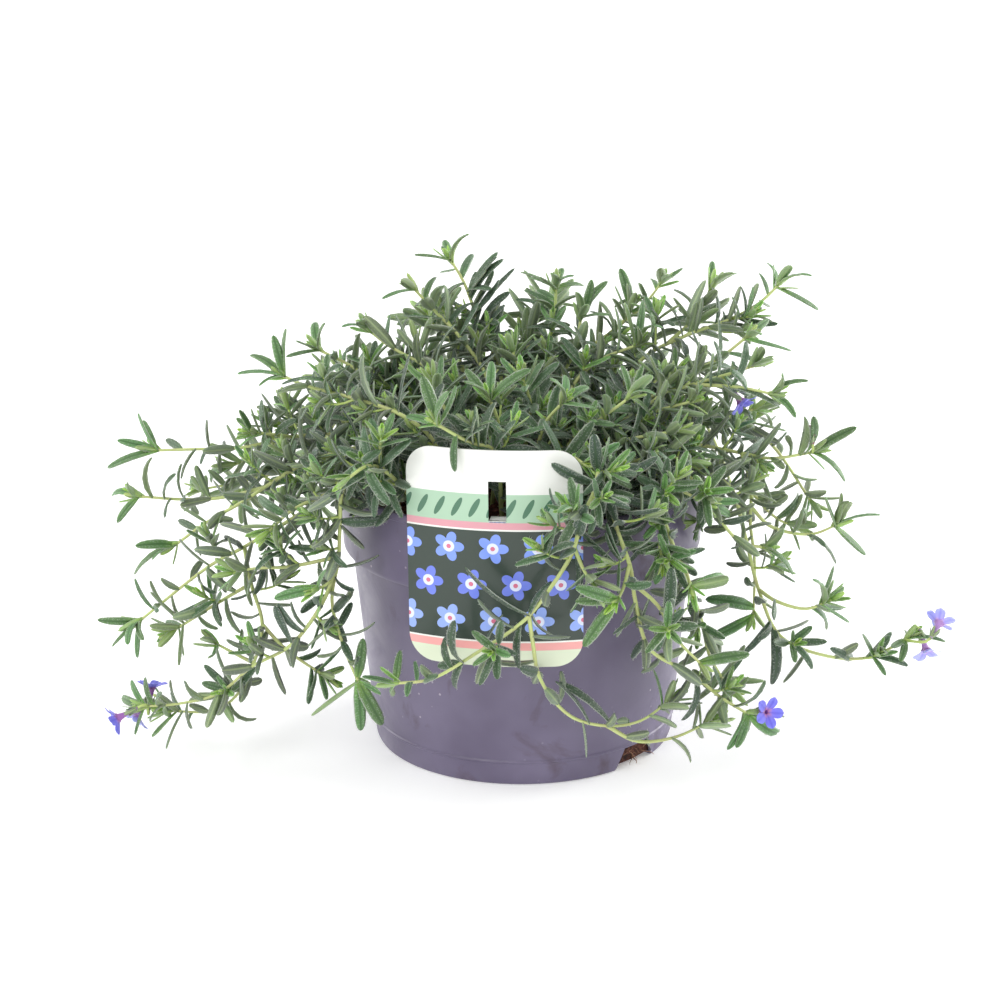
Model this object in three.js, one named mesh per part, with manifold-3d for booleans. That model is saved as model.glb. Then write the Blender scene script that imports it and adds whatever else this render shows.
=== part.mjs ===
// A lithodora in its nursery pot: a low evergreen plant whose leafy stems rise out of the soil,
// arch over the rim and trail down all round, with a few violet-blue blooms at the stem ends.
// Millimetres, +Z up. The origin is the centre of the pot's underside, the front is -Y.

import * as THREE from "three";
import { mergeVertices } from "three/addons/utils/BufferGeometryUtils.js";
import Module from "manifold-3d";

const wasm = await Module();
wasm.setup();

// Driving dimensions of the pot
const POT_HEIGHT = 115;
const RIM_RADIUS = 75;
const BASE_RADIUS = 62.3;
const WALL = 1.5;
const BAND_HEIGHT = 31;
const BAND_STEP = 3.6;
const FOOT_HEIGHT = 10.5;
const FOOT_LINE = 0.5;
const POT_SIDES = 28;
const RIM_LIP = { out: 0.6, height: 3.4 };
const BASE_ROUNDING = 1.4;
const BAND_ROUNDING = 1.6;
const NOTCH = { azimuths: [-43, 137], topWidth: 15, bottomWidth: 24, height: 9.5, depth: 12 };
const DRAIN = { count: 5, radius: 5, ring: 40, sides: 10 };

// Soil: a slightly heaped fill with a plain hole for each stem
const SOIL_TOP = 107;
const SOIL_HEAP = 2.5;
const SOIL_RIPPLE = { height: 0.9, reach: 60, perX: 0.21, perY: 0.17 };
const ROOT_DEPTH = 12;
const HOLE = { radius: 3.1, depth: 13.5, sides: 4 };
const GAP = 0.3;

// Picture label: a curved card that hangs in front of the rim by a tongue cut out of it
const CARD = {
  width: 70, height: 89, thickness: 0.8, corner: 11, bend: 105, strips: 6, bottom: 57.5, azimuth: -99,
};
const TONGUE = { width: 7, height: 16, foot: 60.5, offset: 2, drop: 7.5, clearance: 0.2 };

// Stems and leaves
const STEM_RADIUS = 1.05;
const BRANCH_RADIUS = 0.85;
const SHOOT_RADIUS = 0.7;
const STEM_STEP = 16;
const STALK_STEP = 4;
const LEAF_SPACING = 36;
const MOUND_SPACING = 27;
const MOUND_FLOOR = 118;
const LEAF = { length: 24, width: 5.8, keel: 1, bow: 0.16 };
// How wide a blade is along its length: pairs of a share of the length and a share of the width
const FULL_LEAF = [[0.3, 1], [0.74, 0.84]];
const TIP_LEAF = [[0.45, 1]];
// Angles between a leaf and its stem in radians, and sizes as shares of the full leaf
const LEAF_PITCH = [0.8, 1.15];
const LEAF_SIZE = [0.75, 1.1];
const LEAF_RISE = 0.12;
const TIP_PITCH = { inner: 0.35, spread: 0.75 };
const TIP_SIZE = [0.6, 0.85];
const TIP_LEAF_STEP = 2.4;
// How far along a stem and along a branch the first leaf and the first shoot stand
const STEM_STARTS = { leaf: 26, shoot: 110, tipLeaves: 4 };
const BRANCH_STARTS = { leaf: 14, shoot: 76, tipLeaves: 3 };
const BARE_TIP = 8;
const FLOOR_ROOM = 6;
const SHORTEST_EDGE = 0.004;
const SMALLEST_CROSSING = 1e-4;
const SHOOT_SPACING = 120;
const SHOOT_LENGTH = 12;
const SHOOT_LEAVES = 3;
const SHOOT_LEAF_SIZE = 0.85;
const SHOOT_TRIES = 6;
const SHOOT_TURN = 1.05;
const UNEVEN = [0.8, 1.2];
const GOLDEN_ANGLE = 2.39996;
// Turns, tilts and sizes that a leaf tries until it is clear of its neighbours
const LEAF_TRIES = [
  [0, 0, 1], [0.4, 0, 1], [-0.4, 0, 1], [0, 0.3, 1], [0.8, 0.2, 0.9], [-0.8, 0.2, 0.9],
  [0, -0.3, 0.75], [1.3, 0.1, 0.8], [-1.3, 0.1, 0.8], [2.2, 0, 0.7], [-2.2, 0, 0.7],
];
// Growth of a stem's radius that is tried where its plain size would leave a sliver
const STEM_SPARES = [0, 0.02, 0.04, 0.06, 0.08, 0.1];

// Blooms
const COROLLA = { tube: 8.5, throat: 1.5, base: 0.8, lobes: 5, lobeRise: 0.5 };
const LOBE = { length: 7.2, width: 4.4, keel: 0.8, bow: 0.12, stations: [[0.62, 1]] };
const BUD_LENGTH = 7;
const SEPAL = { length: 6, width: 1.6, keel: 0.6, bow: -0.1, stations: [[0.45, 1]] };
const SEPALS = 3;
const STALK_END = 4;

const COLOURS = {
  pot: [0x6b6379, 0.45],
  soil: [0x6b3f35, 0.95],
  label: [0xe6e8e2, 0.35],
  leaves: [0x567a52, 0.6],
  corolla: [0x7479e2, 0.5],
  withered: [0x8a3560, 0.7],
};

// The routes of the stems, from the point where each leaves the soil to its tip. A branch starts
// where its first point meets the stem.
const STEMS = [
  {
    name: "left_long", root: [-34, 6],
    route: [[-56, 10, 129], [-79, 14, 126], [-96, 16, 124], [-117, 18, 119], [-134, 20, 118],
      [-154, 22, 117]],
    branches: [
      [[-96, 16, 124], [-104, 8, 128], [-112, 4, 130]],
      [[-101, 16, 123], [-113, 24, 112], [-123, 28, 108]],
    ],
  },
  {
    name: "left_mid", root: [-44, -14],
    route: [[-61, -22, 131], [-78, -22, 128], [-90, -20, 123], [-115, -16, 106], [-128, -14, 98],
      [-144, -12, 86]],
    branches: [],
  },
  {
    name: "left_level", root: [-50, 12],
    route: [[-70, 5, 119], [-84, 3, 113], [-107, 4, 106], [-126, 6, 101], [-141, 8, 100], [-161, 10, 101]],
    branches: [[[-84, 3, 113], [-101, 14, 109], [-121, 22, 102], [-136, 26, 98]]],
  },
  {
    name: "left_low", root: [-50, -28],
    route: [[-64, -38, 127], [-77, -40, 118], [-91, -36, 107], [-113, -30, 92], [-127, -26, 83],
      [-159, -20, 56]],
    branches: [
      [[-77, -40, 118], [-91, -48, 114], [-102, -52, 105]],
      [[-113, -30, 92], [-110, -34, 78], [-106, -36, 62], [-108, -36, 50], [-118, -34, 29], [-128, -33, 22],
        [-149, -32, 22]],
      [[-110, -34, 78], [-123, -27, 68], [-146, -23, 52]],
      [[-106, -36, 62], [-96, -42, 52], [-78, -50, 42]],
      [[-110, -35, 45], [-120, -28, 46], [-128, -24, 49]],
    ],
    blooms: ["left_low"],
  },
  {
    name: "left_hang", root: [-44, -38],
    route: [[-61, -54, 134], [-70, -56, 126], [-72, -56, 110], [-73, -56, 96], [-76, -58, 79], [-72, -60, 61],
      [-66, -60, 44]],
    branches: [
      [[-73, -56, 96], [-76, -62, 89], [-82, -67, 87]],
      [[-73, -56, 97], [-94, -48, 90], [-108, -44, 88], [-118, -42, 85]],
      [[-74, -57, 90], [-82, -60, 75], [-94, -56, 59], [-110, -50, 48], [-124, -46, 35], [-140, -44, 30],
        [-156, -42, 28]],
    ],
    blooms: ["left_end", "left_side"],
  },
  {
    name: "front_left", root: [-40, -46],
    route: [[-53, -62, 134], [-60, -73, 140], [-68, -81, 137]],
    branches: [[[-55, -65, 136], [-55, -68, 145], [-54, -71, 152]]],
  },
  {
    name: "front_long", root: [22, -50],
    route: [[29, -72, 137], [27, -82, 131], [22, -87, 122], [19, -88, 110], [10, -89, 95], [0, -89, 82],
      [-19, -88, 68], [-37, -87, 57], [-52, -86, 55]],
    branches: [
      [[2, -89, 85], [3, -88, 73], [6, -86, 56], [18, -81, 38], [33, -77, 32], [46, -72, 32], [60, -66, 40]],
      [[33, -77, 32], [44, -76, 25], [59, -71, 24], [76, -62, 28]],
      [[19, -88, 110], [23, -92, 103], [28, -94, 96]],
      [[22, -87, 122], [21, -92, 126], [17, -97, 130]],
    ],
  },
  {
    name: "front_rose", root: [8, -54],
    route: [[18, -64, 140], [25, -71, 138]],
    branches: [],
  },
  {
    name: "front_right", root: [34, -44],
    route: [[33, -68, 127], [36, -78, 115], [41, -82, 101], [43, -82, 87], [49, -78, 65], [66, -70, 51],
      [78, -63, 38], [91, -54, 26]],
    branches: [
      [[41, -82, 101], [38, -90, 95], [35, -97, 92]],
      [[42, -82, 94], [52, -84, 85], [59, -82, 71], [70, -77, 57]],
    ],
    blooms: ["front_right"],
  },
  {
    name: "right_front", root: [46, -32],
    route: [[49, -56, 123], [55, -63, 113], [60, -65, 99], [65, -61, 86], [71, -54, 67], [75, -48, 49],
      [84, -42, 32]],
    branches: [
      [[60, -65, 99], [64, -71, 93], [65, -77, 89]],
      [[55, -63, 113], [53, -70, 106], [54, -76, 100]],
    ],
  },
  {
    name: "right_low", root: [34, -30],
    route: [[36, -43, 130], [47, -49, 130], [58, -52, 124], [73, -50, 115]],
    branches: [[[42, -46, 131], [56, -40, 132], [69, -36, 127]]],
  },
  {
    name: "right_high", root: [26, 2],
    route: [[37, 0, 133], [49, 2, 132], [73, 6, 130], [83, 8, 132], [98, 10, 136]],
    branches: [],
  },
  {
    name: "right_near", root: [26, -24],
    route: [[30, -34, 134], [40, -38, 138], [64, -38, 142]],
    branches: [],
  },
  {
    name: "right_mid", root: [44, -4],
    route: [[50, -8, 125], [69, -10, 127], [90, -10, 123], [102, -8, 120], [121, -6, 122]],
    branches: [
      [[90, -10, 123], [94, -8, 108], [94, -8, 92], [96, -8, 76], [96, -8, 50]],
      [[94, -8, 100], [103, -4, 89], [120, 0, 84], [132, 4, 87]],
      [[93, -9, 113], [95, -2, 104], [107, 8, 88], [116, 12, 83]],
    ],
    blooms: ["withered"],
  },
  {
    name: "right_in", root: [49, -22],
    route: [[60, -34, 124], [72, -39, 118], [80, -38, 103], [88, -34, 93], [99, -30, 89]],
    branches: [],
  },
  {
    name: "right_long", root: [38, -14],
    route: [[50, -23, 125], [70, -24, 122], [84, -24, 113], [90, -24, 94], [97, -24, 67], [106, -24, 48],
      [127, -22, 38], [144, -20, 37], [160, -18, 45]],
    branches: [[[96, -24, 70], [103, -30, 66], [115, -34, 64], [126, -36, 69]]],
    blooms: ["right_end", "right_under"],
  },
  {
    name: "top_right_far", root: [26, 26],
    route: [[50, 32, 150], [71, 38, 160], [88, 42, 165], [101, 46, 171], [110, 48, 179]],
    branches: [[[61, 35, 156], [76, 50, 166], [82, 56, 177]]],
  },
  {
    name: "top_right_mid", root: [32, 15],
    route: [[54, 18, 144], [71, 20, 149], [83, 20, 155], [95, 22, 164]],
    branches: [],
  },
  {
    name: "top_right_near", root: [32, -8],
    route: [[48, -9, 144], [69, -6, 151], [85, -4, 155], [96, -2, 158]],
    branches: [[[69, -6, 151], [88, -17, 153], [102, -21, 151]]],
    blooms: ["top_right"],
  },
  { name: "top_mid_far", root: [4, 40], route: [[12, 46, 150], [15, 52, 163], [16, 54, 178]], branches: [] },
  { name: "top_mid", root: [8, 24], route: [[16, 27, 142], [23, 30, 156], [26, 32, 171]], branches: [] },
  {
    name: "top_mid_right", root: [18, 10],
    route: [[21, 12, 144], [31, 14, 155], [50, 18, 162]],
    branches: [],
  },
  {
    name: "mid_right", root: [14, -26],
    route: [[20, -33, 137], [29, -37, 145], [44, -39, 157]],
    branches: [],
  },
  { name: "mid", root: [2, -30], route: [[9, -39, 145], [17, -45, 157]], branches: [] },
  {
    name: "mid_right_low", root: [30, -14],
    route: [[38, -18, 138], [54, -22, 145], [69, -25, 150]],
    branches: [[[44, -19, 141], [56, -13, 149], [61, -8, 155]]],
  },
  {
    name: "top_right_back", root: [18, 40],
    route: [[30, 52, 150], [43, 60, 158], [49, 63, 167]],
    branches: [[[38, 57, 155], [54, 66, 166], [62, 70, 175]]],
  },
  { name: "mid_left", root: [-12, -30], route: [[-9, -38, 145], [-13, -45, 159]], branches: [] },
  {
    name: "front_mid_left", root: [-8, -52],
    route: [[-11, -64, 143], [-20, -70, 148], [-34, -72, 157]],
    branches: [],
  },
  {
    name: "top_left_tall", root: [-8, 28],
    route: [[-8, 34, 145], [-17, 38, 167], [-23, 42, 183], [-29, 44, 193]],
    branches: [],
  },
  {
    name: "top_left", root: [-18, 14],
    route: [[-13, 16, 146], [-23, 20, 163], [-36, 26, 176], [-44, 30, 184]],
    branches: [],
  },
  {
    name: "left_front_high", root: [-30, -36],
    route: [[-35, -50, 143], [-47, -52, 154], [-65, -46, 159], [-85, -40, 163], [-95, -38, 167]],
    branches: [],
  },
  {
    name: "left_back", root: [-38, 22],
    route: [[-43, 24, 141], [-61, 26, 146], [-73, 30, 152], [-85, 34, 157]],
    branches: [],
  },
  { name: "crown_mid", root: [0, 8], route: [[-2, 6, 130], [1, 9, 148], [-4, 12, 164]], branches: [] },
  { name: "crown_near", root: [4, -12], route: [[2, -12, 130], [4, -16, 146], [0, -20, 161]], branches: [] },
  {
    name: "crown_side", root: [-16, -14],
    route: [[-22, -14, 130], [-30, -16, 144], [-36, -14, 158]],
    branches: [],
  },
  {
    name: "left_top", root: [-22, 0],
    route: [[-24, 2, 146], [-38, 7, 156], [-54, 13, 164], [-63, 18, 170]],
    branches: [],
  },
];

// Stems at the back arch evenly over the rim: azimuth in degrees, root radius, reach, and the
// heights of the arch's top and of the tip.
const BACK_STEMS = [
  ["back_right_low", 22, 54, 130, 128, 84],
  ["back_right", 44, 55, 122, 133, 70],
  ["back_right_mid", 62, 54, 134, 130, 92],
  ["back_near", 79, 56, 118, 134, 58],
  ["back_mid", 95, 54, 130, 130, 80],
  ["back_left_near", 111, 56, 122, 135, 62],
  ["back_left_mid", 127, 54, 134, 131, 88],
  ["back_left", 144, 55, 124, 134, 66],
  ["back_left_low", 160, 54, 138, 128, 82],
  ["crown_back", 86, 34, 84, 158, 166],
  ["crown_back_left", 122, 34, 92, 156, 158],
  ["crown_left", 147, 40, 92, 150, 140],
];

// Blooms: where the mouth of each corolla is, and the way it faces
const BLOOMS = {
  left_end: { mouth: [-165, -46, 25], facing: [-0.85, -0.15, -0.4] },
  left_low: { mouth: [-160, -27, 18], facing: [-0.5, -0.4, -0.75] },
  left_side: { mouth: [-153, -33, 32], facing: [0.1, 0.3, 0.9] },
  right_end: { mouth: [171, -22, 52], facing: [0.45, 0.7, 0.4] },
  right_under: { mouth: [166, -22, 41], facing: [0.2, -0.6, -0.75] },
  front_right: { mouth: [97, -58, 29], facing: [0.4, -0.8, 0.25] },
  top_right: { mouth: [89, -9, 145], facing: [0.5, -0.4, -0.6] },
  withered: { mouth: [117, -12, 134], facing: [-0.2, -0.1, 1], bud: true },
};

const vector = (point) => new THREE.Vector3(...point);

// A seeded run of numbers from 0 to 1, the same on every machine
const SEED = 4711;
const MULTIPLIER = 16807;
const MODULUS = 2147483647;
let draw = SEED;

function random() {
  draw = (draw * MULTIPLIER) % MODULUS;
  return draw / MODULUS;
}

const between = ([low, high]) => low + (high - low) * random();

function toSolid(geometry) {
  const bare = geometry.clone();
  bare.deleteAttribute("normal");
  bare.deleteAttribute("uv");
  const merged = mergeVertices(bare, 1e-4);
  return new wasm.Manifold(new wasm.Mesh({
    numProp: 3,
    vertProperties: new Float32Array(merged.attributes.position.array),
    triVerts: new Uint32Array(merged.index.array),
  }));
}

function toGeometry(solid) {
  const mesh = solid.getMesh();
  const position = new Float32Array(mesh.numVert * 3);
  for (let i = 0; i < mesh.numVert; i++) {
    position.set(mesh.vertProperties.subarray(i * mesh.numProp, i * mesh.numProp + 3), i * 3);
  }
  const geometry = new THREE.BufferGeometry();
  geometry.setAttribute("position", new THREE.BufferAttribute(position, 3));
  geometry.setIndex(new THREE.BufferAttribute(new Uint32Array(mesh.triVerts), 1));
  geometry.computeVertexNormals();
  return geometry;
}

// A profile of [radius, height] pairs turned about the pot's axis
function turned(profile, sides) {
  const points = profile.map(([radius, height]) => new THREE.Vector2(radius, height));
  return new THREE.LatheGeometry(points, sides).rotateX(Math.PI / 2);
}

function polygon(radius, sides) {
  const shape = new THREE.Shape();
  for (let i = 0; i < sides; i++) {
    const angle = (i * 2 * Math.PI) / sides;
    const corner = [radius * Math.cos(angle), radius * Math.sin(angle)];
    if (i === 0) shape.moveTo(...corner);
    else shape.lineTo(...corner);
  }
  shape.closePath();
  return shape;
}

// A stem's line: a smooth curve, and the straight stretches that its solid follows
class Line {
  constructor(curve, radius, sides, step = STEM_STEP) {
    this.curve = curve;
    this.radius = radius;
    this.sides = sides;
    this.length = curve.getLength();
    this.steps = Math.max(2, Math.round(this.length / step));
    this.joints = curve.getSpacedPoints(this.steps);
  }

  // The point at a share of the length, on the solid's own middle line
  at(share) {
    const place = Math.min(Math.max(share, 0), 1) * this.steps;
    const before = Math.min(Math.floor(place), this.steps - 1);
    return this.joints[before].clone().lerp(this.joints[before + 1], place - before);
  }

  tangent(share) {
    return this.curve.getTangentAt(Math.min(Math.max(share, 0), 1));
  }

  nearest(point) {
    const shares = Array.from({ length: 90 }, (_, i) => 0.013 + (i * 0.97) / 90);
    const distances = shares.map((share) => this.at(share).distanceTo(point));
    const distance = Math.min(...distances);
    return { point: this.at(shares[distances.indexOf(distance)]), distance };
  }

  solid(spare = 0) {
    return toSolid(new THREE.ExtrudeGeometry(polygon(this.radius + spare, this.sides), {
      steps: this.steps, extrudePath: this.curve, bevelEnabled: false,
    }));
  }
}

// The nursery pot
function potSolid() {
  const bandBottom = POT_HEIGHT - BAND_HEIGHT;
  const bodyTop = RIM_RADIUS - BAND_STEP - 1;
  const slope = (bodyTop - BASE_RADIUS) / bandBottom;
  const body = (height) => BASE_RADIUS + slope * height;
  const outside = [
    [0, 0], [BASE_RADIUS - BASE_ROUNDING, 0], [BASE_RADIUS, BASE_ROUNDING],
    [body(FOOT_HEIGHT - 1), FOOT_HEIGHT - 1], [body(FOOT_HEIGHT) + FOOT_LINE, FOOT_HEIGHT],
    [body(FOOT_HEIGHT + 1), FOOT_HEIGHT + 1],
    [bodyTop, bandBottom], [RIM_RADIUS - 1, bandBottom + BAND_ROUNDING],
    [RIM_RADIUS, POT_HEIGHT - RIM_LIP.height], [RIM_RADIUS + RIM_LIP.out, POT_HEIGHT - RIM_LIP.height + 0.4],
    [RIM_RADIUS + RIM_LIP.out, POT_HEIGHT - RIM_LIP.out], [RIM_RADIUS, POT_HEIGHT],
  ];
  const inside = [
    [RIM_RADIUS - WALL, POT_HEIGHT], [RIM_RADIUS - 1 - WALL, bandBottom + BAND_ROUNDING],
    [bodyTop - WALL, bandBottom - WALL], [body(WALL) - WALL, WALL], [0, WALL],
  ];
  let solid = toSolid(turned([...outside, ...inside], POT_SIDES));
  for (const azimuth of NOTCH.azimuths) {
    const outline = new THREE.Shape();
    outline.moveTo(-NOTCH.bottomWidth / 2, -1);
    outline.lineTo(NOTCH.bottomWidth / 2, -1);
    outline.lineTo(NOTCH.topWidth / 2, NOTCH.height);
    outline.lineTo(-NOTCH.topWidth / 2, NOTCH.height);
    outline.closePath();
    const cutter = new THREE.ExtrudeGeometry(outline, { depth: NOTCH.depth, bevelEnabled: false });
    cutter.rotateX(Math.PI / 2).translate(0, -BASE_RADIUS + NOTCH.depth / 2, 0);
    cutter.rotateZ(THREE.MathUtils.degToRad(azimuth + 90));
    solid = solid.subtract(toSolid(cutter));
  }
  for (let i = 0; i < DRAIN.count; i++) {
    const angle = ((i + 0.5) * 2 * Math.PI) / DRAIN.count;
    const hole = new THREE.CylinderGeometry(DRAIN.radius, DRAIN.radius, 4 * WALL, DRAIN.sides);
    hole.rotateX(Math.PI / 2).translate(DRAIN.ring * Math.cos(angle), DRAIN.ring * Math.sin(angle), 0);
    solid = solid.subtract(toSolid(hole));
  }
  return solid;
}

// The fill, rippled on top, with a hole for each stem
function soilSolid(roots) {
  const bandBottom = POT_HEIGHT - BAND_HEIGHT;
  const bodyTop = RIM_RADIUS - BAND_STEP - 1;
  const inner = WALL + GAP + 0.2;
  const atTop = RIM_RADIUS - 1 - inner + (SOIL_TOP - bandBottom) / BAND_HEIGHT;
  const profile = [
    [0, WALL + GAP], [BASE_RADIUS - inner, WALL + GAP + 0.3], [bodyTop - inner, bandBottom - inner],
    [RIM_RADIUS - 1 - inner - 0.4, bandBottom + BAND_ROUNDING], [atTop - 0.4, SOIL_TOP],
    [50, SOIL_TOP + SOIL_HEAP * 0.5], [24, SOIL_TOP + SOIL_HEAP * 0.9], [0, SOIL_TOP + SOIL_HEAP],
  ];
  const geometry = turned(profile, POT_SIDES);
  const position = geometry.attributes.position;
  for (let i = 0; i < position.count; i++) {
    const x = position.getX(i);
    const y = position.getY(i);
    if (Math.hypot(x, y) < SOIL_RIPPLE.reach && position.getZ(i) > SOIL_TOP) {
      const ripple = Math.sin(x * SOIL_RIPPLE.perX + 1) * Math.cos(y * SOIL_RIPPLE.perY - 0.5);
      position.setZ(i, position.getZ(i) + SOIL_RIPPLE.height * ripple);
    }
  }
  let solid = toSolid(geometry);
  for (const [x, y] of roots) {
    const length = HOLE.depth + 6.5;
    const hole = new THREE.CylinderGeometry(HOLE.radius, HOLE.radius, length, HOLE.sides);
    hole.rotateX(Math.PI / 2).translate(x, y, SOIL_TOP - HOLE.depth + length / 2);
    solid = solid.subtract(toSolid(hole));
  }
  return solid;
}

// A rounded card, bent about an upright axis, with its tongue folded back over the rim
function labelSolid() {
  const { width, height, thickness, corner, strips } = CARD;
  const left = -width / 2;
  const right = width / 2;
  const card = new THREE.Shape();
  card.moveTo(left + corner, 0);
  card.lineTo(right - corner, 0);
  card.absarc(right - corner, corner, corner, -Math.PI / 2, 0);
  card.lineTo(right, height - corner);
  card.absarc(right - corner, height - corner, corner, 0, Math.PI / 2);
  card.lineTo(left + corner, height);
  card.absarc(left + corner, height - corner, corner, Math.PI / 2, Math.PI);
  card.lineTo(left, corner);
  card.absarc(left + corner, corner, corner, Math.PI, 1.5 * Math.PI);
  const slotLeft = TONGUE.offset - TONGUE.width / 2;
  const slot = new THREE.Path();
  slot.moveTo(slotLeft, TONGUE.foot);
  slot.lineTo(slotLeft, TONGUE.foot + TONGUE.height);
  slot.lineTo(slotLeft + TONGUE.width, TONGUE.foot + TONGUE.height);
  slot.lineTo(slotLeft + TONGUE.width, TONGUE.foot);
  slot.closePath();
  card.holes.push(slot);
  const slab = new THREE.ExtrudeGeometry(card, {
    depth: thickness, bevelEnabled: false, curveSegments: 4,
  });
  // The slab is cut into upright strips so that it can bend
  let solid = toSolid(slab);
  const pieces = [];
  for (let i = 0; i < strips; i++) {
    const strip = new THREE.BoxGeometry(width / strips, 3 * height, 3 * thickness);
    strip.translate(left + ((i + 0.5) * width) / strips, 0, thickness / 2);
    pieces.push(solid.intersect(toSolid(strip)));
  }
  solid = pieces.reduce((whole, piece) => whole.add(piece));
  const geometry = toGeometry(solid);
  const position = geometry.attributes.position;
  for (let i = 0; i < position.count; i++) {
    const angle = position.getX(i) / CARD.bend;
    const radius = CARD.bend + position.getZ(i);
    const back = CARD.bend - radius * Math.cos(angle);
    position.setXYZ(i, radius * Math.sin(angle), back, position.getY(i));
  }
  const rimRoom = WALL + RIM_LIP.out + 7 * GAP;
  const path = new THREE.Shape();
  path.moveTo(-thickness, 0);
  path.lineTo(rimRoom + thickness, 0);
  path.lineTo(rimRoom + thickness, -TONGUE.drop);
  path.lineTo(rimRoom, -TONGUE.drop);
  path.lineTo(rimRoom, -thickness);
  path.lineTo(-thickness, -thickness);
  path.closePath();
  const tongue = new THREE.ExtrudeGeometry(path, {
    depth: TONGUE.width - 2 * TONGUE.clearance, bevelEnabled: false,
  });
  tongue.rotateX(Math.PI / 2).rotateZ(Math.PI / 2);
  tongue.translate(slotLeft + TONGUE.clearance, 0, TONGUE.foot);
  return toSolid(geometry).add(toSolid(tongue));
}

// A leaf, sepal or petal: a folded blade that starts at a point inside its stem
function blade(foot, along, up, { length, width, keel, bow, stations }, spare = 0) {
  const side = new THREE.Vector3().crossVectors(along, up).normalize();
  const at = (t) => {
    const straight = foot.clone().addScaledVector(along, t * length);
    return straight.addScaledVector(up, -bow * length * t * t);
  };
  const points = [at(0)];
  for (const [t, share] of stations) {
    const middle = at(t).addScaledVector(up, spare + 0.1);
    const half = (width * share) / 2 + spare;
    points.push(middle.clone().addScaledVector(side, half));
    points.push(middle.clone().addScaledVector(side, -half));
    points.push(at(t).addScaledVector(up, -keel - spare));
  }
  points.push(at(1 + spare / length));
  const faces = [0, 1, 2, 0, 2, 3, 0, 3, 1];
  for (let ring = 1; ring < points.length - 4; ring += 3) {
    for (const [a, b] of [[0, 1], [1, 2], [2, 0]]) {
      faces.push(ring + a, ring + 3 + a, ring + b, ring + b, ring + 3 + a, ring + 3 + b);
    }
  }
  const last = points.length - 1;
  faces.push(last, last - 2, last - 3, last, last - 1, last - 2, last, last - 3, last - 1);
  const geometry = new THREE.BufferGeometry().setFromPoints(points);
  geometry.setIndex(faces);
  return toSolid(geometry);
}

// What stands already, to keep every new piece clear of the pieces of other nodes
const standing = [];

function boxesMeet(a, b) {
  return [0, 1, 2].every((k) => a.min[k] < b.max[k] && b.min[k] < a.max[k]);
}

function crossed(solid, node) {
  const box = solid.boundingBox();
  return standing.find((other) => other.node !== node && boxesMeet(box, other.box)
    && solid.intersect(other.solid).volume() > SMALLEST_CROSSING);
}

function stand(solid, node) {
  standing.push({ solid, node, box: solid.boundingBox() });
}

// Whether no edge of a solid is so short that its ends would run together in a file
function sound(solid) {
  const { numProp, vertProperties, triVerts } = solid.getMesh();
  for (let i = 0; i < triVerts.length; i++) {
    const a = triVerts[i] * numProp;
    const b = triVerts[i - (i % 3) + ((i + 1) % 3)] * numProp;
    const edge = Math.hypot(...[0, 1, 2].map((k) => vertProperties[a + k] - vertProperties[b + k]));
    if (edge < SHORTEST_EDGE) return false;
  }
  return true;
}

// Fuses a piece to a plant, unless that would leave a sliver
function fuse(plant, piece) {
  const whole = plant.solid ? plant.solid.add(piece) : piece;
  if (!sound(whole)) return false;
  plant.solid = whole;
  stand(piece, plant.name);
  return true;
}

// A frame across a stem: the direction at a roll angle about its line
function across(tangent, roll) {
  const level = Math.abs(tangent.z) > 0.95 ? new THREE.Vector3(1, 0, 0) : new THREE.Vector3(0, 0, 1);
  const side = new THREE.Vector3().crossVectors(tangent, level).normalize();
  const top = new THREE.Vector3().crossVectors(side, tangent).normalize();
  return side.multiplyScalar(Math.cos(roll)).addScaledVector(top, Math.sin(roll));
}

// Grows one leaf on a plant's node where it is clear of every other node
function growLeaf(plant, foot, tangent, roll, pitch, size, stations) {
  for (const [turn, tilt, scale] of LEAF_TRIES) {
    const out = across(tangent, roll + turn);
    const along = tangent.clone().multiplyScalar(Math.cos(pitch + tilt));
    along.addScaledVector(out, Math.sin(pitch + tilt));
    along.z += LEAF_RISE;
    along.normalize();
    const up = tangent.clone().addScaledVector(along, -tangent.dot(along)).normalize();
    const length = LEAF.length * size * scale;
    const width = LEAF.width * (0.55 + 0.45 * size) * scale;
    const shape = { ...LEAF, length, width, stations };
    const tip = foot.clone().addScaledVector(along, length);
    if (tip.z < FLOOR_ROOM) continue;
    if (crossed(blade(foot, along, up, shape, GAP), plant.name)) continue;
    if (fuse(plant, blade(foot, along, up, shape))) return true;
  }
  return false;
}

// Leaves all along a line, and a closer tuft of short ones at its tip
function leafAlong(plant, line, first, tipLeaves, size) {
  let roll = between([0, 2 * Math.PI]);
  let step = 0;
  for (let place = first; place < line.length - BARE_TIP; place += step) {
    const t = place / line.length;
    const spacing = line.at(t).z > MOUND_FLOOR ? MOUND_SPACING : LEAF_SPACING;
    step = spacing * between(UNEVEN);
    roll += GOLDEN_ANGLE;
    const pitch = between(LEAF_PITCH);
    growLeaf(plant, line.at(t), line.tangent(t), roll, pitch, size * between(LEAF_SIZE), FULL_LEAF);
  }
  for (let i = tipLeaves - 1; i >= 0; i--) {
    roll += GOLDEN_ANGLE;
    const t = 1 - (0.6 + i * TIP_LEAF_STEP) / line.length;
    const pitch = TIP_PITCH.inner + (TIP_PITCH.spread * i) / Math.max(1, tipLeaves - 1);
    growLeaf(plant, line.at(t), line.tangent(t), roll, pitch, size * between(TIP_SIZE), TIP_LEAF);
  }
}

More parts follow.
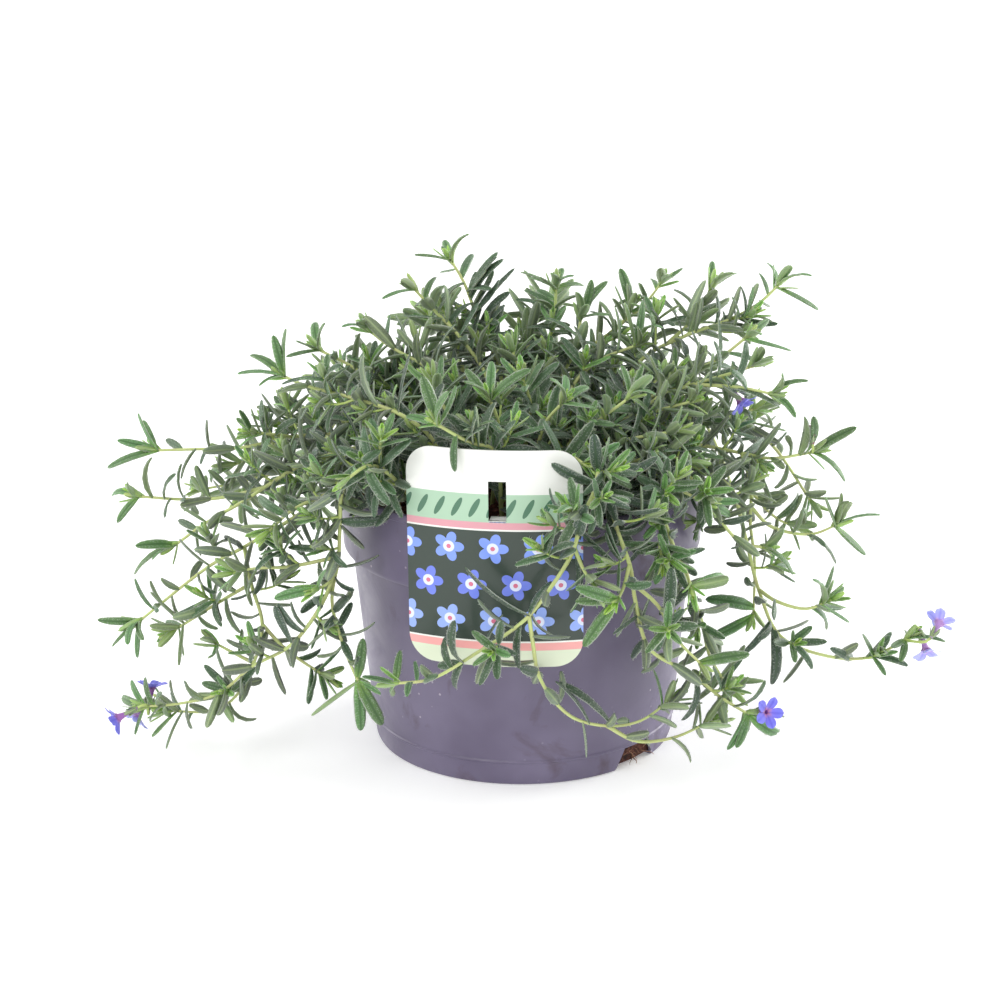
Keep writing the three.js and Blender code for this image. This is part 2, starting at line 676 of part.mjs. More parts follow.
// A short side shoot with a tuft of leaves
function growShoot(plant, line, place, roll) {
  const t = place / line.length;
  const foot = line.at(t);
  const tangent = line.tangent(t);
  for (let attempt = 0; attempt < SHOOT_TRIES; attempt++) {
    const out = across(tangent, roll + attempt * SHOOT_TURN);
    const along = tangent.clone().multiplyScalar(0.6).addScaledVector(out, 0.8);
    along.z += 0.25;
    along.normalize();
    const straight = new THREE.LineCurve3(foot, foot.clone().addScaledVector(along, SHOOT_LENGTH));
    const shoot = new Line(straight, SHOOT_RADIUS, 3);
    if (crossed(shoot.solid(GAP), plant.name)) continue;
    if (fuse(plant, shoot.solid())) return shoot;
  }
  return null;
}

function colourOf([colour, roughness]) {
  return new THREE.MeshStandardMaterial({ color: colour, roughness, metalness: 0 });
}

const plantGroup = new THREE.Group();

function addMesh(name, solid, finish, parent = plantGroup) {
  const mesh = new THREE.Mesh(toGeometry(solid), colourOf(finish));
  mesh.name = name;
  parent.add(mesh);
  return mesh;
}

function polar(azimuth, radius, height) {
  const angle = THREE.MathUtils.degToRad(azimuth);
  return [radius * Math.cos(angle), radius * Math.sin(angle), height];
}

// The heights of an arching stem: up to its top at two fifths of its reach, then down to its tip
function arch([name, azimuth, rootRadius, reach, top, end]) {
  const route = [0.2, 0.42, 0.72, 1].map((share) => {
    const rising = Math.max(0, (0.4 - share) / 0.4);
    const falling = Math.max(0, (share - 0.4) / 0.6);
    const height = top - (top - SOIL_TOP) * rising ** 2 * 0.8 - (top - end) * falling ** 2;
    const swing = azimuth + 7 * share * share * (azimuth % 2 ? 1 : -1);
    return polar(swing, rootRadius + (reach - rootRadius) * share, height);
  });
  return { name, root: polar(azimuth, rootRadius, 0).slice(0, 2), route, branches: [] };
}

const stems = [...STEMS, ...BACK_STEMS.map(arch)];

// Pot, soil and label
const pot = potSolid();
const soil = soilSolid(stems.map((stem) => stem.root));
addMesh("pot", pot, COLOURS.pot);
addMesh("soil", soil, COLOURS.soil);

const label = addMesh("label", labelSolid(), COLOURS.label);
const hang = new THREE.Group();
hang.rotation.z = THREE.MathUtils.degToRad(CARD.azimuth + 90);
hang.position.set(...polar(CARD.azimuth, RIM_RADIUS + RIM_LIP.out + GAP, CARD.bottom));
plantGroup.add(hang);
hang.add(label);
plantGroup.updateMatrixWorld(true);
const labelPlaced = toSolid(label.geometry.clone().applyMatrix4(label.matrixWorld));
stand(pot, "pot");
stand(soil, "soil");
stand(labelPlaced, "label");

// Blooms: a narrow tube that opens into five lobes
function corollaSolid() {
  const { tube, throat, base, lobes, lobeRise } = COROLLA;
  let solid = toSolid(turned([[0, -tube], [base, -tube], [throat, -1], [0, 0.8]], 5));
  for (let i = 0; i < lobes; i++) {
    const angle = (i * 2 * Math.PI) / lobes;
    const x = Math.cos(angle);
    const y = Math.sin(angle);
    const along = new THREE.Vector3(x, y, lobeRise).normalize();
    const up = new THREE.Vector3(-x * lobeRise, -y * lobeRise, 1).normalize();
    const foot = new THREE.Vector3(0, 0, -0.8);
    solid = solid.add(blade(foot, along, up, LOBE));
  }
  return solid;
}

function budSolid() {
  const profile = [[0, -BUD_LENGTH], [0.8, -BUD_LENGTH], [1.3, -3], [1, 0], [0, 1.5]];
  return toSolid(turned(profile, 6));
}

function facingMatrix(spot) {
  const out = vector(spot.facing).normalize();
  const turn = new THREE.Quaternion().setFromUnitVectors(new THREE.Vector3(0, 0, 1), out);
  return new THREE.Matrix4().compose(vector(spot.mouth), turn, new THREE.Vector3(1, 1, 1));
}

for (const [name, spot] of Object.entries(BLOOMS)) {
  const geometry = toGeometry(spot.bud ? budSolid() : corollaSolid());
  geometry.applyMatrix4(facingMatrix(spot));
  const solid = toSolid(geometry);
  addMesh("bloom_" + name, solid, spot.bud ? COLOURS.withered : COLOURS.corolla);
  stand(solid, "bloom_" + name);
}

// The place on a plant's lines that is nearest to a point
function fork(lines, point) {
  const places = lines.map((line) => line.nearest(point));
  return places.sort((a, b) => a.distance - b.distance)[0].point;
}

function smooth(points) {
  return new THREE.CatmullRomCurve3(points, false, "centripetal");
}

// A plant's lines: its stem, which leaves the soil upright, its branches and its flower stalks
function plantLines(stem, calyxes) {
  const [x, y] = stem.root;
  const [nextX, nextY] = stem.route[0];
  const start = [
    [x, y, SOIL_TOP - ROOT_DEPTH + 1], [x, y, SOIL_TOP - 5], [x, y, SOIL_TOP + 2],
    [x + 0.15 * (nextX - x), y + 0.15 * (nextY - y), SOIL_TOP + 8],
  ];
  const lines = [new Line(smooth([...start, ...stem.route].map(vector)), STEM_RADIUS, 4)];
  for (const branch of stem.branches) {
    const points = branch.map(vector);
    points[0] = fork(lines, points[0]);
    lines.push(new Line(smooth(points), BRANCH_RADIUS, 3));
  }
  const stalks = (stem.blooms ?? []).map((bloom) => {
    const { mouth, facing, bud } = BLOOMS[bloom];
    const out = vector(facing).normalize();
    const depth = (bud ? BUD_LENGTH : COROLLA.tube) + GAP + 0.2;
    const end = vector(mouth).addScaledVector(out, -depth);
    calyxes.push({ end, out });
    const elbow = end.clone().addScaledVector(out, -STALK_END);
    const curve = new THREE.QuadraticBezierCurve3(fork(lines, elbow), elbow, end);
    return new Line(curve, SHOOT_RADIUS, 4, STALK_STEP);
  });
  return { lines, stalks };
}

// All the stems stand before any leaf grows
const plants = stems.map((stem) => {
  const calyxes = [];
  const { lines, stalks } = plantLines(stem, calyxes);
  const plant = { name: "leafy_stem_" + stem.name, solid: null, lines, calyxes, shoots: [] };
  for (const line of [...lines, ...stalks]) {
    const hit = crossed(line.solid(GAP / 2), plant.name);
    if (hit) throw new Error(plant.name + " crosses " + hit.node);
    const fused = STEM_SPARES.some((spare) => fuse(plant, line.solid(spare)));
    if (!fused) throw new Error(plant.name + " has a sliver");
  }
  return plant;
});

for (const plant of plants) {
  for (const { end, out } of plant.calyxes) {
    for (let i = 0; i < SEPALS; i++) {
      const side = across(out, (i * 2 * Math.PI) / SEPALS);
      const along = out.clone().multiplyScalar(0.75).addScaledVector(side, 0.66).normalize();
      const up = out.clone().addScaledVector(along, -out.dot(along)).normalize();
      const foot = end.clone().addScaledVector(out, -0.6);
      if (crossed(blade(foot, along, up, SEPAL, GAP / 2), plant.name)) continue;
      fuse(plant, blade(foot, along, up, SEPAL));
    }
  }
}

// Side shoots, then leaves
const startsOf = (index) => (index === 0 ? STEM_STARTS : BRANCH_STARTS);

for (const plant of plants) {
  plant.lines.forEach((line, index) => {
    let place = startsOf(index).shoot;
    while (place < line.length - SHOOT_LENGTH) {
      const shoot = growShoot(plant, line, place, between([0, 2 * Math.PI]));
      if (shoot) plant.shoots.push(shoot);
      place += SHOOT_SPACING * between(UNEVEN);
    }
  });
}

for (const plant of plants) {
  plant.lines.forEach((line, index) => {
    const { leaf, tipLeaves } = startsOf(index);
    leafAlong(plant, line, leaf, tipLeaves, 1);
  });
  for (const shoot of plant.shoots) {
    leafAlong(plant, shoot, SHOOT_LENGTH, SHOOT_LEAVES, SHOOT_LEAF_SIZE);
  }
}

for (const plant of plants) addMesh(plant.name, plant.solid, COLOURS.leaves);

export default plantGroup;
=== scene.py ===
"""A lithodora in its nursery pot: the finished looks, made around the fixed frame.

Metres, +Z up, the front is -Y. The file follows the object as it is put together: the studio,
the pot, the potting mix, the picture label, the leafy stems, the blooms and the withered bloom.
"""

import math
import random

import bpy
import numpy as np
from mathutils import Matrix, Vector, noise


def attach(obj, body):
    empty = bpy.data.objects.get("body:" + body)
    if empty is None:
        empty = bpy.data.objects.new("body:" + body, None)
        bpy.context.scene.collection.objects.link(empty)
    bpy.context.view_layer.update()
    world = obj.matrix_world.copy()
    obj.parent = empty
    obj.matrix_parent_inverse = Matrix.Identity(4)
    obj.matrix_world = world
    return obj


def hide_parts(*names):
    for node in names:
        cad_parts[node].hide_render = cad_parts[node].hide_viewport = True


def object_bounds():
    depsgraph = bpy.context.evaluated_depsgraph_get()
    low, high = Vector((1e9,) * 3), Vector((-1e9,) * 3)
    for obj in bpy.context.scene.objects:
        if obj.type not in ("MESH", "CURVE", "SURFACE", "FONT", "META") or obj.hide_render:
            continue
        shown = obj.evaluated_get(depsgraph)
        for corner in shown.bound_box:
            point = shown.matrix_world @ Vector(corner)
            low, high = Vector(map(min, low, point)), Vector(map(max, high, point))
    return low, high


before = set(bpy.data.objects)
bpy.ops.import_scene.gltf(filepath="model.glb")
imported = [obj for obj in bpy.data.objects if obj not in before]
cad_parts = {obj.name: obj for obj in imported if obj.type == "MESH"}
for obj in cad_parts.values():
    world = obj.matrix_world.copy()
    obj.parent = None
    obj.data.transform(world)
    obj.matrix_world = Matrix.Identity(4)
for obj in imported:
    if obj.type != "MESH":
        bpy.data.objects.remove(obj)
cad_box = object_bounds()


# Camera: a long lens just above the rim of the pot, looking slightly down on the plant.
# Its distance, height and tilt are those from which the photograph was taken.
CAMERA_DISTANCE = 1.175
CAMERA_ELEVATION = math.radians(18.84)
CAMERA_ROLL = math.radians(-0.71)
CAMERA_TARGET = Vector((-0.0089, 0, 0.1007))
FOCAL_LENGTH_PIXELS = 2843
IMAGE_SIDE_PIXELS = 1000

camera_data = bpy.data.cameras.new("camera")
camera_data.sensor_width = 36
camera_data.lens = camera_data.sensor_width * FOCAL_LENGTH_PIXELS / IMAGE_SIDE_PIXELS
camera_data.clip_start = 0.05
camera = bpy.data.objects.new("camera", camera_data)
bpy.context.scene.collection.objects.link(camera)
bpy.context.scene.camera = camera

camera_back = Vector((0, -math.cos(CAMERA_ELEVATION), math.sin(CAMERA_ELEVATION)))
level = Vector((1, 0, 0))
upright = Vector((0, math.sin(CAMERA_ELEVATION), math.cos(CAMERA_ELEVATION)))
camera_right = math.cos(CAMERA_ROLL) * level + math.sin(CAMERA_ROLL) * upright
camera_up = math.cos(CAMERA_ROLL) * upright - math.sin(CAMERA_ROLL) * level
camera_turn = Matrix((camera_right, camera_up, camera_back)).transposed()
camera_place = Matrix.Translation(CAMERA_TARGET + CAMERA_DISTANCE * camera_back)
camera.matrix_world = camera_place @ camera_turn.to_4x4()


# Studio: a white paper sweep under soft light that comes from all round, with a large soft box
# high at the front left and two more behind the pot that brighten its edges.
FLOOR_SIDE = 14
PAPER_WHITE = "#fbfbfb"
SKY_STRENGTH = 0.93
SOFT_BOXES = {
    "key": {"place": (-0.9, -1.3, 1.5), "side": 0.9, "watts": 13},
    "right_edge": {"place": (1.15, 0.6, 0.4), "side": 0.7, "watts": 17},
    "left_edge": {"place": (-1.2, 0.35, 0.4), "side": 0.8, "watts": 7},
}
PAPER_GLOW = 0.2


def linear(hex_colour):
    """An sRGB hex value as a linear colour."""
    colour = []
    for start in (1, 3, 5):
        channel = int(hex_colour[start:start + 2], 16) / 255
        low = channel <= 0.04045
        colour.append(channel / 12.92 if low else ((channel + 0.055) / 1.055) ** 2.4)
    return (*colour, 1)


def add_node(material, kind, settings=None, links=None):
    """Adds a node: settings are properties, sockets or a ramp's stops, links are (node, output)."""
    tree = material.node_tree
    node = tree.nodes.new("ShaderNode" + kind)
    for key, value in (settings or {}).items():
        if key == "stops":
            while len(node.color_ramp.elements) < len(value):
                node.color_ramp.elements.new(0.5)
            for element, (position, colour) in zip(node.color_ramp.elements, value):
                element.position = position
                element.color = linear(colour)
        elif key == "interpolation":
            node.color_ramp.interpolation = value
        elif isinstance(key, str) and hasattr(node, key):
            setattr(node, key, value)
        else:
            node.inputs[key].default_value = value
    for key, (source, output) in (links or {}).items():
        tree.links.new(source.outputs[output], node.inputs[key])
    return node


def new_material(name, roughness, ior=1.5, **sockets):
    """A material with one Principled shader. Returns the material and the shader."""
    material = bpy.data.materials.new(name)
    material.use_nodes = True
    shader = material.node_tree.nodes["Principled BSDF"]
    shader.inputs["Roughness"].default_value = roughness
    shader.inputs["IOR"].default_value = ior
    for socket, value in sockets.items():
        shader.inputs[socket.replace("_", " ")].default_value = value
    return material, shader


def join_sockets(material, source, output, target, socket):
    material.node_tree.links.new(source.outputs[output], target.inputs[socket])


bpy.ops.object.select_all(action="DESELECT")
bpy.ops.mesh.primitive_plane_add(size=FLOOR_SIDE)
floor = bpy.context.object
floor.name = "paper_floor"
paper, paper_shader = new_material("Matt white paper", 0.9)
paper_shader.inputs["Base Color"].default_value = linear(PAPER_WHITE)
paper_shader.inputs["Emission Color"].default_value = linear(PAPER_WHITE)
paper_shader.inputs["Emission Strength"].default_value = PAPER_GLOW
floor.data.materials.append(paper)

world = bpy.data.worlds.new("soft white surroundings")
world.use_nodes = True
world.node_tree.nodes["Background"].inputs["Strength"].default_value = SKY_STRENGTH
world.node_tree.nodes["Background"].inputs["Color"].default_value = (1, 1, 1, 1)
bpy.context.scene.world = world
bpy.context.scene.view_settings.view_transform = "Standard"

for name, box in SOFT_BOXES.items():
    light_data = bpy.data.lights.new(name, "AREA")
    light_data.size = box["side"]
    light_data.energy = box["watts"]
    light = bpy.data.objects.new(name, light_data)
    light.location = box["place"]
    light.rotation_euler = (CAMERA_TARGET - light.location).to_track_quat("-Z", "Y").to_euler()
    bpy.context.scene.collection.objects.link(light)


# Nursery pot: one thin shell of recycled polypropylene, injection moulded, with a stepped rim band,
# a raised line above its foot, two drainage notches at the foot and drainage holes in the floor.
# The plastic is grey-violet with a satin sheen, smeared with peat and flecked with dust.
POT_SIDES = 120
POT_HEIGHT = 0.115
RIM_RADIUS = 0.075
BASE_RADIUS = 0.0623
BODY_TOP_RADIUS = 0.0704
BAND_BOTTOM = 0.084
WALL = 0.0015
FOOT_HEIGHT = 0.0105
FOOT_LINE = 0.0005
NOTCH_AZIMUTHS = (-43, 137)
NOTCH_TOP_WIDTH = 0.015
NOTCH_BOTTOM_WIDTH = 0.024
NOTCH_HEIGHT = 0.0095
NOTCH_REACH = 0.006
CUT_CLEARANCE = 0.001
DRAIN_COUNT = 5
DRAIN_RADIUS = 0.005
DRAIN_RING = 0.04


def body_radius(height):
    return BASE_RADIUS + (BODY_TOP_RADIUS - BASE_RADIUS) * height / BAND_BOTTOM


def select_only(*pieces):
    """Leaves these pieces selected and nothing else, with the last one active."""
    bpy.ops.object.select_all(action="DESELECT")
    for piece in pieces:
        piece.select_set(True)
    bpy.context.view_layer.objects.active = pieces[-1]


def turned_ring_by_ring(sides, profile):
    """A filled circle, extruded and scaled ring by ring through pairs of radius and height."""
    radius, height = profile[0]
    bpy.ops.object.select_all(action="DESELECT")
    bpy.ops.mesh.primitive_circle_add(
        vertices=sides, radius=radius, fill_type="NGON", location=(0, 0, height)
    )
    bpy.ops.object.transform_apply(location=True)
    bpy.ops.object.mode_set(mode="EDIT")
    bpy.ops.mesh.select_all(action="SELECT")
    for next_radius, next_height in profile[1:]:
        rise = (0, 0, next_height - height)
        bpy.ops.mesh.extrude_region_move(TRANSFORM_OT_translate={"value": rise})
        grow = next_radius / radius
        bpy.ops.transform.resize(value=(grow, grow, 1), center_override=(0, 0, next_height))
        radius, height = next_radius, next_height
    return bpy.context.object


pot_profile = [
    (BASE_RADIUS - 0.0016, 0), (BASE_RADIUS - 0.0005, 0.0004), (BASE_RADIUS, 0.0016),
    (body_radius(FOOT_HEIGHT - 0.0008), FOOT_HEIGHT - 0.0008),
    (body_radius(FOOT_HEIGHT) + FOOT_LINE, FOOT_HEIGHT - 0.0002),
    (body_radius(FOOT_HEIGHT) + FOOT_LINE, FOOT_HEIGHT + 0.0002),
    (body_radius(FOOT_HEIGHT + 0.0008), FOOT_HEIGHT + 0.0008),
    (BODY_TOP_RADIUS - 0.0001, BAND_BOTTOM - 0.001), (BODY_TOP_RADIUS + 0.0004, BAND_BOTTOM - 0.0002),
    (BODY_TOP_RADIUS + 0.0028, BAND_BOTTOM + 0.0004), (RIM_RADIUS - 0.0012, BAND_BOTTOM + 0.0012),
    (RIM_RADIUS - 0.001, BAND_BOTTOM + 0.0024), (RIM_RADIUS, POT_HEIGHT - 0.0036),
    (RIM_RADIUS + 0.0005, POT_HEIGHT - 0.0031), (RIM_RADIUS + 0.0006, POT_HEIGHT - 0.0012),
    (RIM_RADIUS + 0.0003, POT_HEIGHT - 0.0003), (RIM_RADIUS - 0.0003, POT_HEIGHT),
    (RIM_RADIUS - WALL + 0.0003, POT_HEIGHT), (RIM_RADIUS - WALL, POT_HEIGHT - 0.0004),
    (RIM_RADIUS - 0.001 - WALL, BAND_BOTTOM + 0.0024), (BODY_TOP_RADIUS - WALL, BAND_BOTTOM - WALL),
    (body_radius(WALL) - WALL, WALL),
]
pot = turned_ring_by_ring(POT_SIDES, pot_profile)
bpy.ops.object.mode_set(mode="OBJECT")
pot.name = "nursery_pot"

cutters = []
for azimuth in NOTCH_AZIMUTHS:
    bpy.ops.mesh.primitive_cube_add(size=1)
    cutter = bpy.context.object
    for vertex in cutter.data.vertices:
        top = vertex.co.z > 0
        width = NOTCH_TOP_WIDTH if top else NOTCH_BOTTOM_WIDTH
        out = BASE_RADIUS + NOTCH_REACH * (1 if vertex.co.y > 0 else -1)
        vertex.co = (width * vertex.co.x, out, NOTCH_HEIGHT if top else -CUT_CLEARANCE)
    cutter.data.transform(Matrix.Rotation(math.radians(azimuth - 90), 4, "Z"))
    cutters.append(cutter)
for index in range(DRAIN_COUNT):
    angle = (index + 0.5) * 2 * math.pi / DRAIN_COUNT
    spot = (DRAIN_RING * math.cos(angle), DRAIN_RING * math.sin(angle), 0)
    bpy.ops.mesh.primitive_cylinder_add(vertices=32, radius=DRAIN_RADIUS, depth=6 * WALL, location=spot)
    cutters.append(bpy.context.object)
for cutter in cutters:
    select_only(pot)
    cut = pot.modifiers.new("cut", "BOOLEAN")
    cut.operation = "DIFFERENCE"
    cut.object = cutter
    bpy.ops.object.modifier_apply(modifier=cut.name)
    bpy.data.objects.remove(cutter)
bpy.ops.object.shade_smooth_by_angle(angle=math.radians(35))

# Polypropylene has an index of refraction of 1.49. The mould leaves a satin skin, and the recycled
# pigment clouds a little over a few centimetres.
POT_COLOURS = [(0.3, "#5e566e"), (0.7, "#716982")]
PEAT_SMEAR = "#4c3d45"
DUST = "#b3aab8"
pot_plastic, pot_shader = new_material("Moulded polypropylene, grey-violet", 0.42, 1.49)
spot = add_node(pot_plastic, "TexCoord")
clouds = add_node(pot_plastic, "TexNoise", {"Scale": 28, "Detail": 3}, {"Vector": (spot, "Object")})
pigment = add_node(pot_plastic, "ValToRGB", {"stops": POT_COLOURS}, {"Fac": (clouds, "Fac")})
smears = add_node(
    pot_plastic, "TexNoise", {"Scale": 46, "Detail": 7, "Roughness": 0.62, "Distortion": 0.6},
    {"Vector": (spot, "Object")},
)
smear_mask = add_node(
    pot_plastic, "MapRange", {"From Min": 0.57, "From Max": 0.72, "To Max": 0.62}, {"Value": (smears, "Fac")}
)
smeared = add_node(
    pot_plastic, "Mix", {"data_type": "RGBA", 7: linear(PEAT_SMEAR)},
    {0: (smear_mask, 0), 6: (pigment, 0)},
)
specks = add_node(pot_plastic, "TexVoronoi", {"Scale": 210, "Randomness": 1}, {"Vector": (spot, "Object")})
speck_mask = add_node(
    pot_plastic, "MapRange", {"From Min": 0.13, "From Max": 0.08, "To Max": 0.8},
    {"Value": (specks, "Distance")},
)
speck_places = add_node(
    pot_plastic, "MapRange", {"From Min": 0.56, "From Max": 0.64}, {"Value": (clouds, "Fac")}
)
speck_share = add_node(
    pot_plastic, "Math", {"operation": "MULTIPLY"}, {0: (speck_mask, 0), 1: (speck_places, 0)}
)
speckled = add_node(
    pot_plastic, "Mix", {"data_type": "RGBA", 7: linear(DUST)}, {0: (speck_share, 0), 6: (smeared, 2)}
)
join_sockets(pot_plastic, speckled, 2, pot_shader, "Base Color")
dullness = add_node(
    pot_plastic, "MapRange", {"From Min": 0.35, "From Max": 0.75, "To Min": 0.3, "To Max": 0.6},
    {"Value": (smears, "Fac")},
)
join_sockets(pot_plastic, dullness, 0, pot_shader, "Roughness")
mould_skin = add_node(pot_plastic, "TexNoise", {"Scale": 900, "Detail": 2}, {"Vector": (spot, "Object")})
pot_bump = add_node(
    pot_plastic, "Bump", {"Strength": 0.12, "Distance": 0.0002}, {"Height": (mould_skin, "Fac")}
)
join_sockets(pot_plastic, pot_bump, 0, pot_shader, "Normal")
pot.data.materials.clear()
pot.data.materials.append(pot_plastic)
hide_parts("pot")
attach(pot, "root")


# Potting mix: dark red-brown peat with crumbs, pale coir fibres and a few fine roots that show in
# the front drainage notch. It fills the pot to a little under the rim and heaps up in the middle.
SOIL_TOP = 0.107
SOIL_HEAP = 0.0025
SOIL_SIDES = 144
SOIL_RINGS = 46
LUMP_HEIGHT = 0.0016
CRUMB_COUNT = 320
CRUMB_REACH = 0.069
CRUMB_SIZES = (0.0006, 0.0022)
FIBRE_COUNT = 230
FIBRE_REACH = 0.062
FIBRE_LENGTHS = (0.006, 0.018)
FIBRE_WIDTHS = (0.0003, 0.0007)
ROOT_COUNT = 13
ROOT_RING = 0.0594
ROOT_HEIGHTS = (0.0025, 0.0085)
ROOT_LENGTHS = (0.004, 0.0085)
ROOT_WIDTH = 0.0007
STRAND_STEPS = 7
soil_random = random.Random(5)

soil_edge = RIM_RADIUS - WALL - 0.0014
soil_profile = [
    (BASE_RADIUS - WALL - 0.0007, WALL + 0.0003), (BODY_TOP_RADIUS - WALL - 0.0007, BAND_BOTTOM - WALL),
    (RIM_RADIUS - WALL - 0.0018, BAND_BOTTOM + 0.002), (soil_edge, SOIL_TOP),
]
soil = turned_ring_by_ring(SOIL_SIDES, soil_profile)
for ring in range(SOIL_RINGS):
    bpy.ops.mesh.inset(thickness=soil_edge / (SOIL_RINGS + 1))
bpy.ops.mesh.merge(type="CENTER")
bpy.ops.object.mode_set(mode="OBJECT")
soil.name = "potting_mix"


def soil_height(x, y):
    """The height of the rough top of the mix."""
    radius = math.hypot(x, y)
    heap = SOIL_HEAP * max(0, 1 - radius / soil_edge)
    inland = min(1, max(0, (soil_edge - radius) / 0.004))
    coarse = noise.fractal(Vector((x, y, 0)) * 130, 0.8, 2.1, 4)
    fine = noise.noise(Vector((x, y, 0.3)) * 520)
    return SOIL_TOP + heap + inland * LUMP_HEIGHT * (coarse + 0.4 * fine)


for vertex in soil.data.vertices:
    if vertex.co.z > SOIL_TOP - 0.001:
        vertex.co.z = soil_height(vertex.co.x, vertex.co.y)

bpy.ops.object.select_all(action="DESELECT")
bpy.ops.mesh.primitive_ico_sphere_add(subdivisions=1, radius=1)
crumb = bpy.context.object
for vertex in crumb.data.vertices:
    vertex.co *= 0.8 + 0.5 * soil_random.random()
crumb_points = np.array([vertex.co for vertex in crumb.data.vertices])
crumb_faces = [tuple(face.vertices) for face in crumb.data.polygons]
bpy.data.objects.remove(crumb)


def strand(start, heading, length, thickness, curl, draws):
    """The points of a thin three-sided strand that wanders, closed at both ends."""
    joints = [np.array(start)]
    heading = np.array(heading, float)
    for _ in range(STRAND_STEPS):
        heading = heading + curl * np.array([draws.gauss(0, 1) for _ in range(3)])
        heading = heading / np.linalg.norm(heading)
        joints.append(joints[-1] + heading * length / STRAND_STEPS)
    points = []
    for index, joint in enumerate(joints):
        taper = 1 - 0.7 * index / STRAND_STEPS
        side = np.cross(heading, (0.3, 0.2, 1.0))
        side = side / np.linalg.norm(side)
        top = np.cross(heading, side)
        for corner in range(3):
            angle = corner * 2 * math.pi / 3
            points.append(joint + taper * thickness / 2 * (math.cos(angle) * side + math.sin(angle) * top))
    last = 3 * STRAND_STEPS
    faces = [(2, 1, 0), (last, last + 1, last + 2)]
    for ring in range(0, last, 3):
        for corner in range(3):
            after = (corner + 1) % 3
            faces.append((ring + corner, ring + after, ring + 3 + after, ring + 3 + corner))
    return points, faces


def joined_mesh(name, parts):
    """One mesh object out of lists of points and faces, with the material slot of each part."""
    points = []
    faces = []
    slots = []
    for part_points, part_faces, slot in parts:
        first = len(points)
        points.extend(tuple(point) for point in part_points)
        faces.extend(tuple(first + corner for corner in face) for face in part_faces)
        slots.extend([slot] * len(part_faces))
    mesh = bpy.data.meshes.new(name)
    mesh.from_pydata(points, [], faces)
    mesh.polygons.foreach_set("material_index", slots)
    made = bpy.data.objects.new(name, mesh)
    bpy.context.scene.collection.objects.link(made)
    return made


def place_on_mix(reach):
    """A random place on the mix, spread evenly over a disc."""
    radius = reach * math.sqrt(soil_random.random())
    angle = soil_random.uniform(0, 2 * math.pi)
    return radius * math.cos(angle), radius * math.sin(angle)


litter = []
for _ in range(CRUMB_COUNT):
    x, y = place_on_mix(CRUMB_REACH)
    size = soil_random.uniform(*CRUMB_SIZES) * np.array([1, soil_random.uniform(0.6, 1.4), 0.7])
    centre = np.array([x, y, soil_height(x, y) + 0.2 * size[2]])
    litter.append((crumb_points * size + centre, crumb_faces, 0))
for _ in range(FIBRE_COUNT):
    x, y = place_on_mix(FIBRE_REACH)
    heading = (soil_random.gauss(0, 1), soil_random.gauss(0, 1), soil_random.uniform(-0.1, 0.5))
    start = (x, y, soil_height(x, y) - 0.0003)
    length = soil_random.uniform(*FIBRE_LENGTHS)
    points, faces = strand(start, heading, length, soil_random.uniform(*FIBRE_WIDTHS), 0.35, soil_random)
    points = [(x, y, max(z, soil_height(x, y) - 0.0002)) for x, y, z in points]
    litter.append((points, faces, 1))
front_notch = math.radians(NOTCH_AZIMUTHS[0])
notch_out = np.array([math.cos(front_notch), math.sin(front_notch), 0])
notch_side = np.array([-notch_out[1], notch_out[0], 0])
for _ in range(ROOT_COUNT):
    start = ROOT_RING * notch_out + soil_random.uniform(-0.007, 0.007) * notch_side
    start[2] = soil_random.uniform(*ROOT_HEIGHTS)
    heading = notch_out + soil_random.uniform(-0.9, 0.9) * notch_side
    heading = heading + np.array([0, 0, soil_random.uniform(-0.4, 0.2)])
    points, faces = strand(start, heading, soil_random.uniform(*ROOT_LENGTHS), ROOT_WIDTH, 0.3, soil_random)
    litter.append(([(x, y, max(z, 0.0004)) for x, y, z in points], faces, 2))
litter_piece = joined_mesh("litter", litter)

# Peat is nearly black when wet and red-brown where it dries. Coir is a pale pinkish tan.
peat, peat_shader = new_material("Peat, damp", 0.95, 1.4)
spot = add_node(peat, "TexCoord")
grains = add_node(
    peat, "TexNoise", {"Scale": 420, "Detail": 5, "Roughness": 0.7}, {"Vector": (spot, "Object")}
)
peat_colours = [(0.36, "#2c1916"), (0.52, "#5a3329"), (0.68, "#8a5d4e")]
grain_colour = add_node(peat, "ValToRGB", {"stops": peat_colours}, {"Fac": (grains, "Fac")})
join_sockets(peat, grain_colour, 0, peat_shader, "Base Color")
grain_bump = add_node(peat, "Bump", {"Strength": 0.9, "Distance": 0.0008}, {"Height": (grains, "Fac")})
join_sockets(peat, grain_bump, 0, peat_shader, "Normal")

STRANDS = {
    "Coir fibre, dry": (60, [(0.35, "#8d5d4d"), (0.65, "#cfa896")]),
    "Root bark, fine": (300, [(0.35, "#5b3a2c"), (0.65, "#9a7258")]),
}
mix_materials = [peat]
for name, (scale, stops) in STRANDS.items():
    fibre, fibre_shader = new_material(name, 0.8, 1.45)
    spot = add_node(fibre, "TexCoord")
    patches = add_node(fibre, "TexNoise", {"Scale": scale, "Detail": 2}, {"Vector": (spot, "Object")})
    fibre_colour = add_node(fibre, "ValToRGB", {"stops": stops}, {"Fac": (patches, "Fac")})
    join_sockets(fibre, fibre_colour, 0, fibre_shader, "Base Color")
    mix_materials.append(fibre)

soil.data.materials.clear()
for material in mix_materials:
    soil.data.materials.append(material)
    litter_piece.data.materials.append(material)
select_only(litter_piece, soil)
bpy.ops.object.join()
bpy.ops.object.shade_smooth()
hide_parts("soil")
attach(soil, "root")


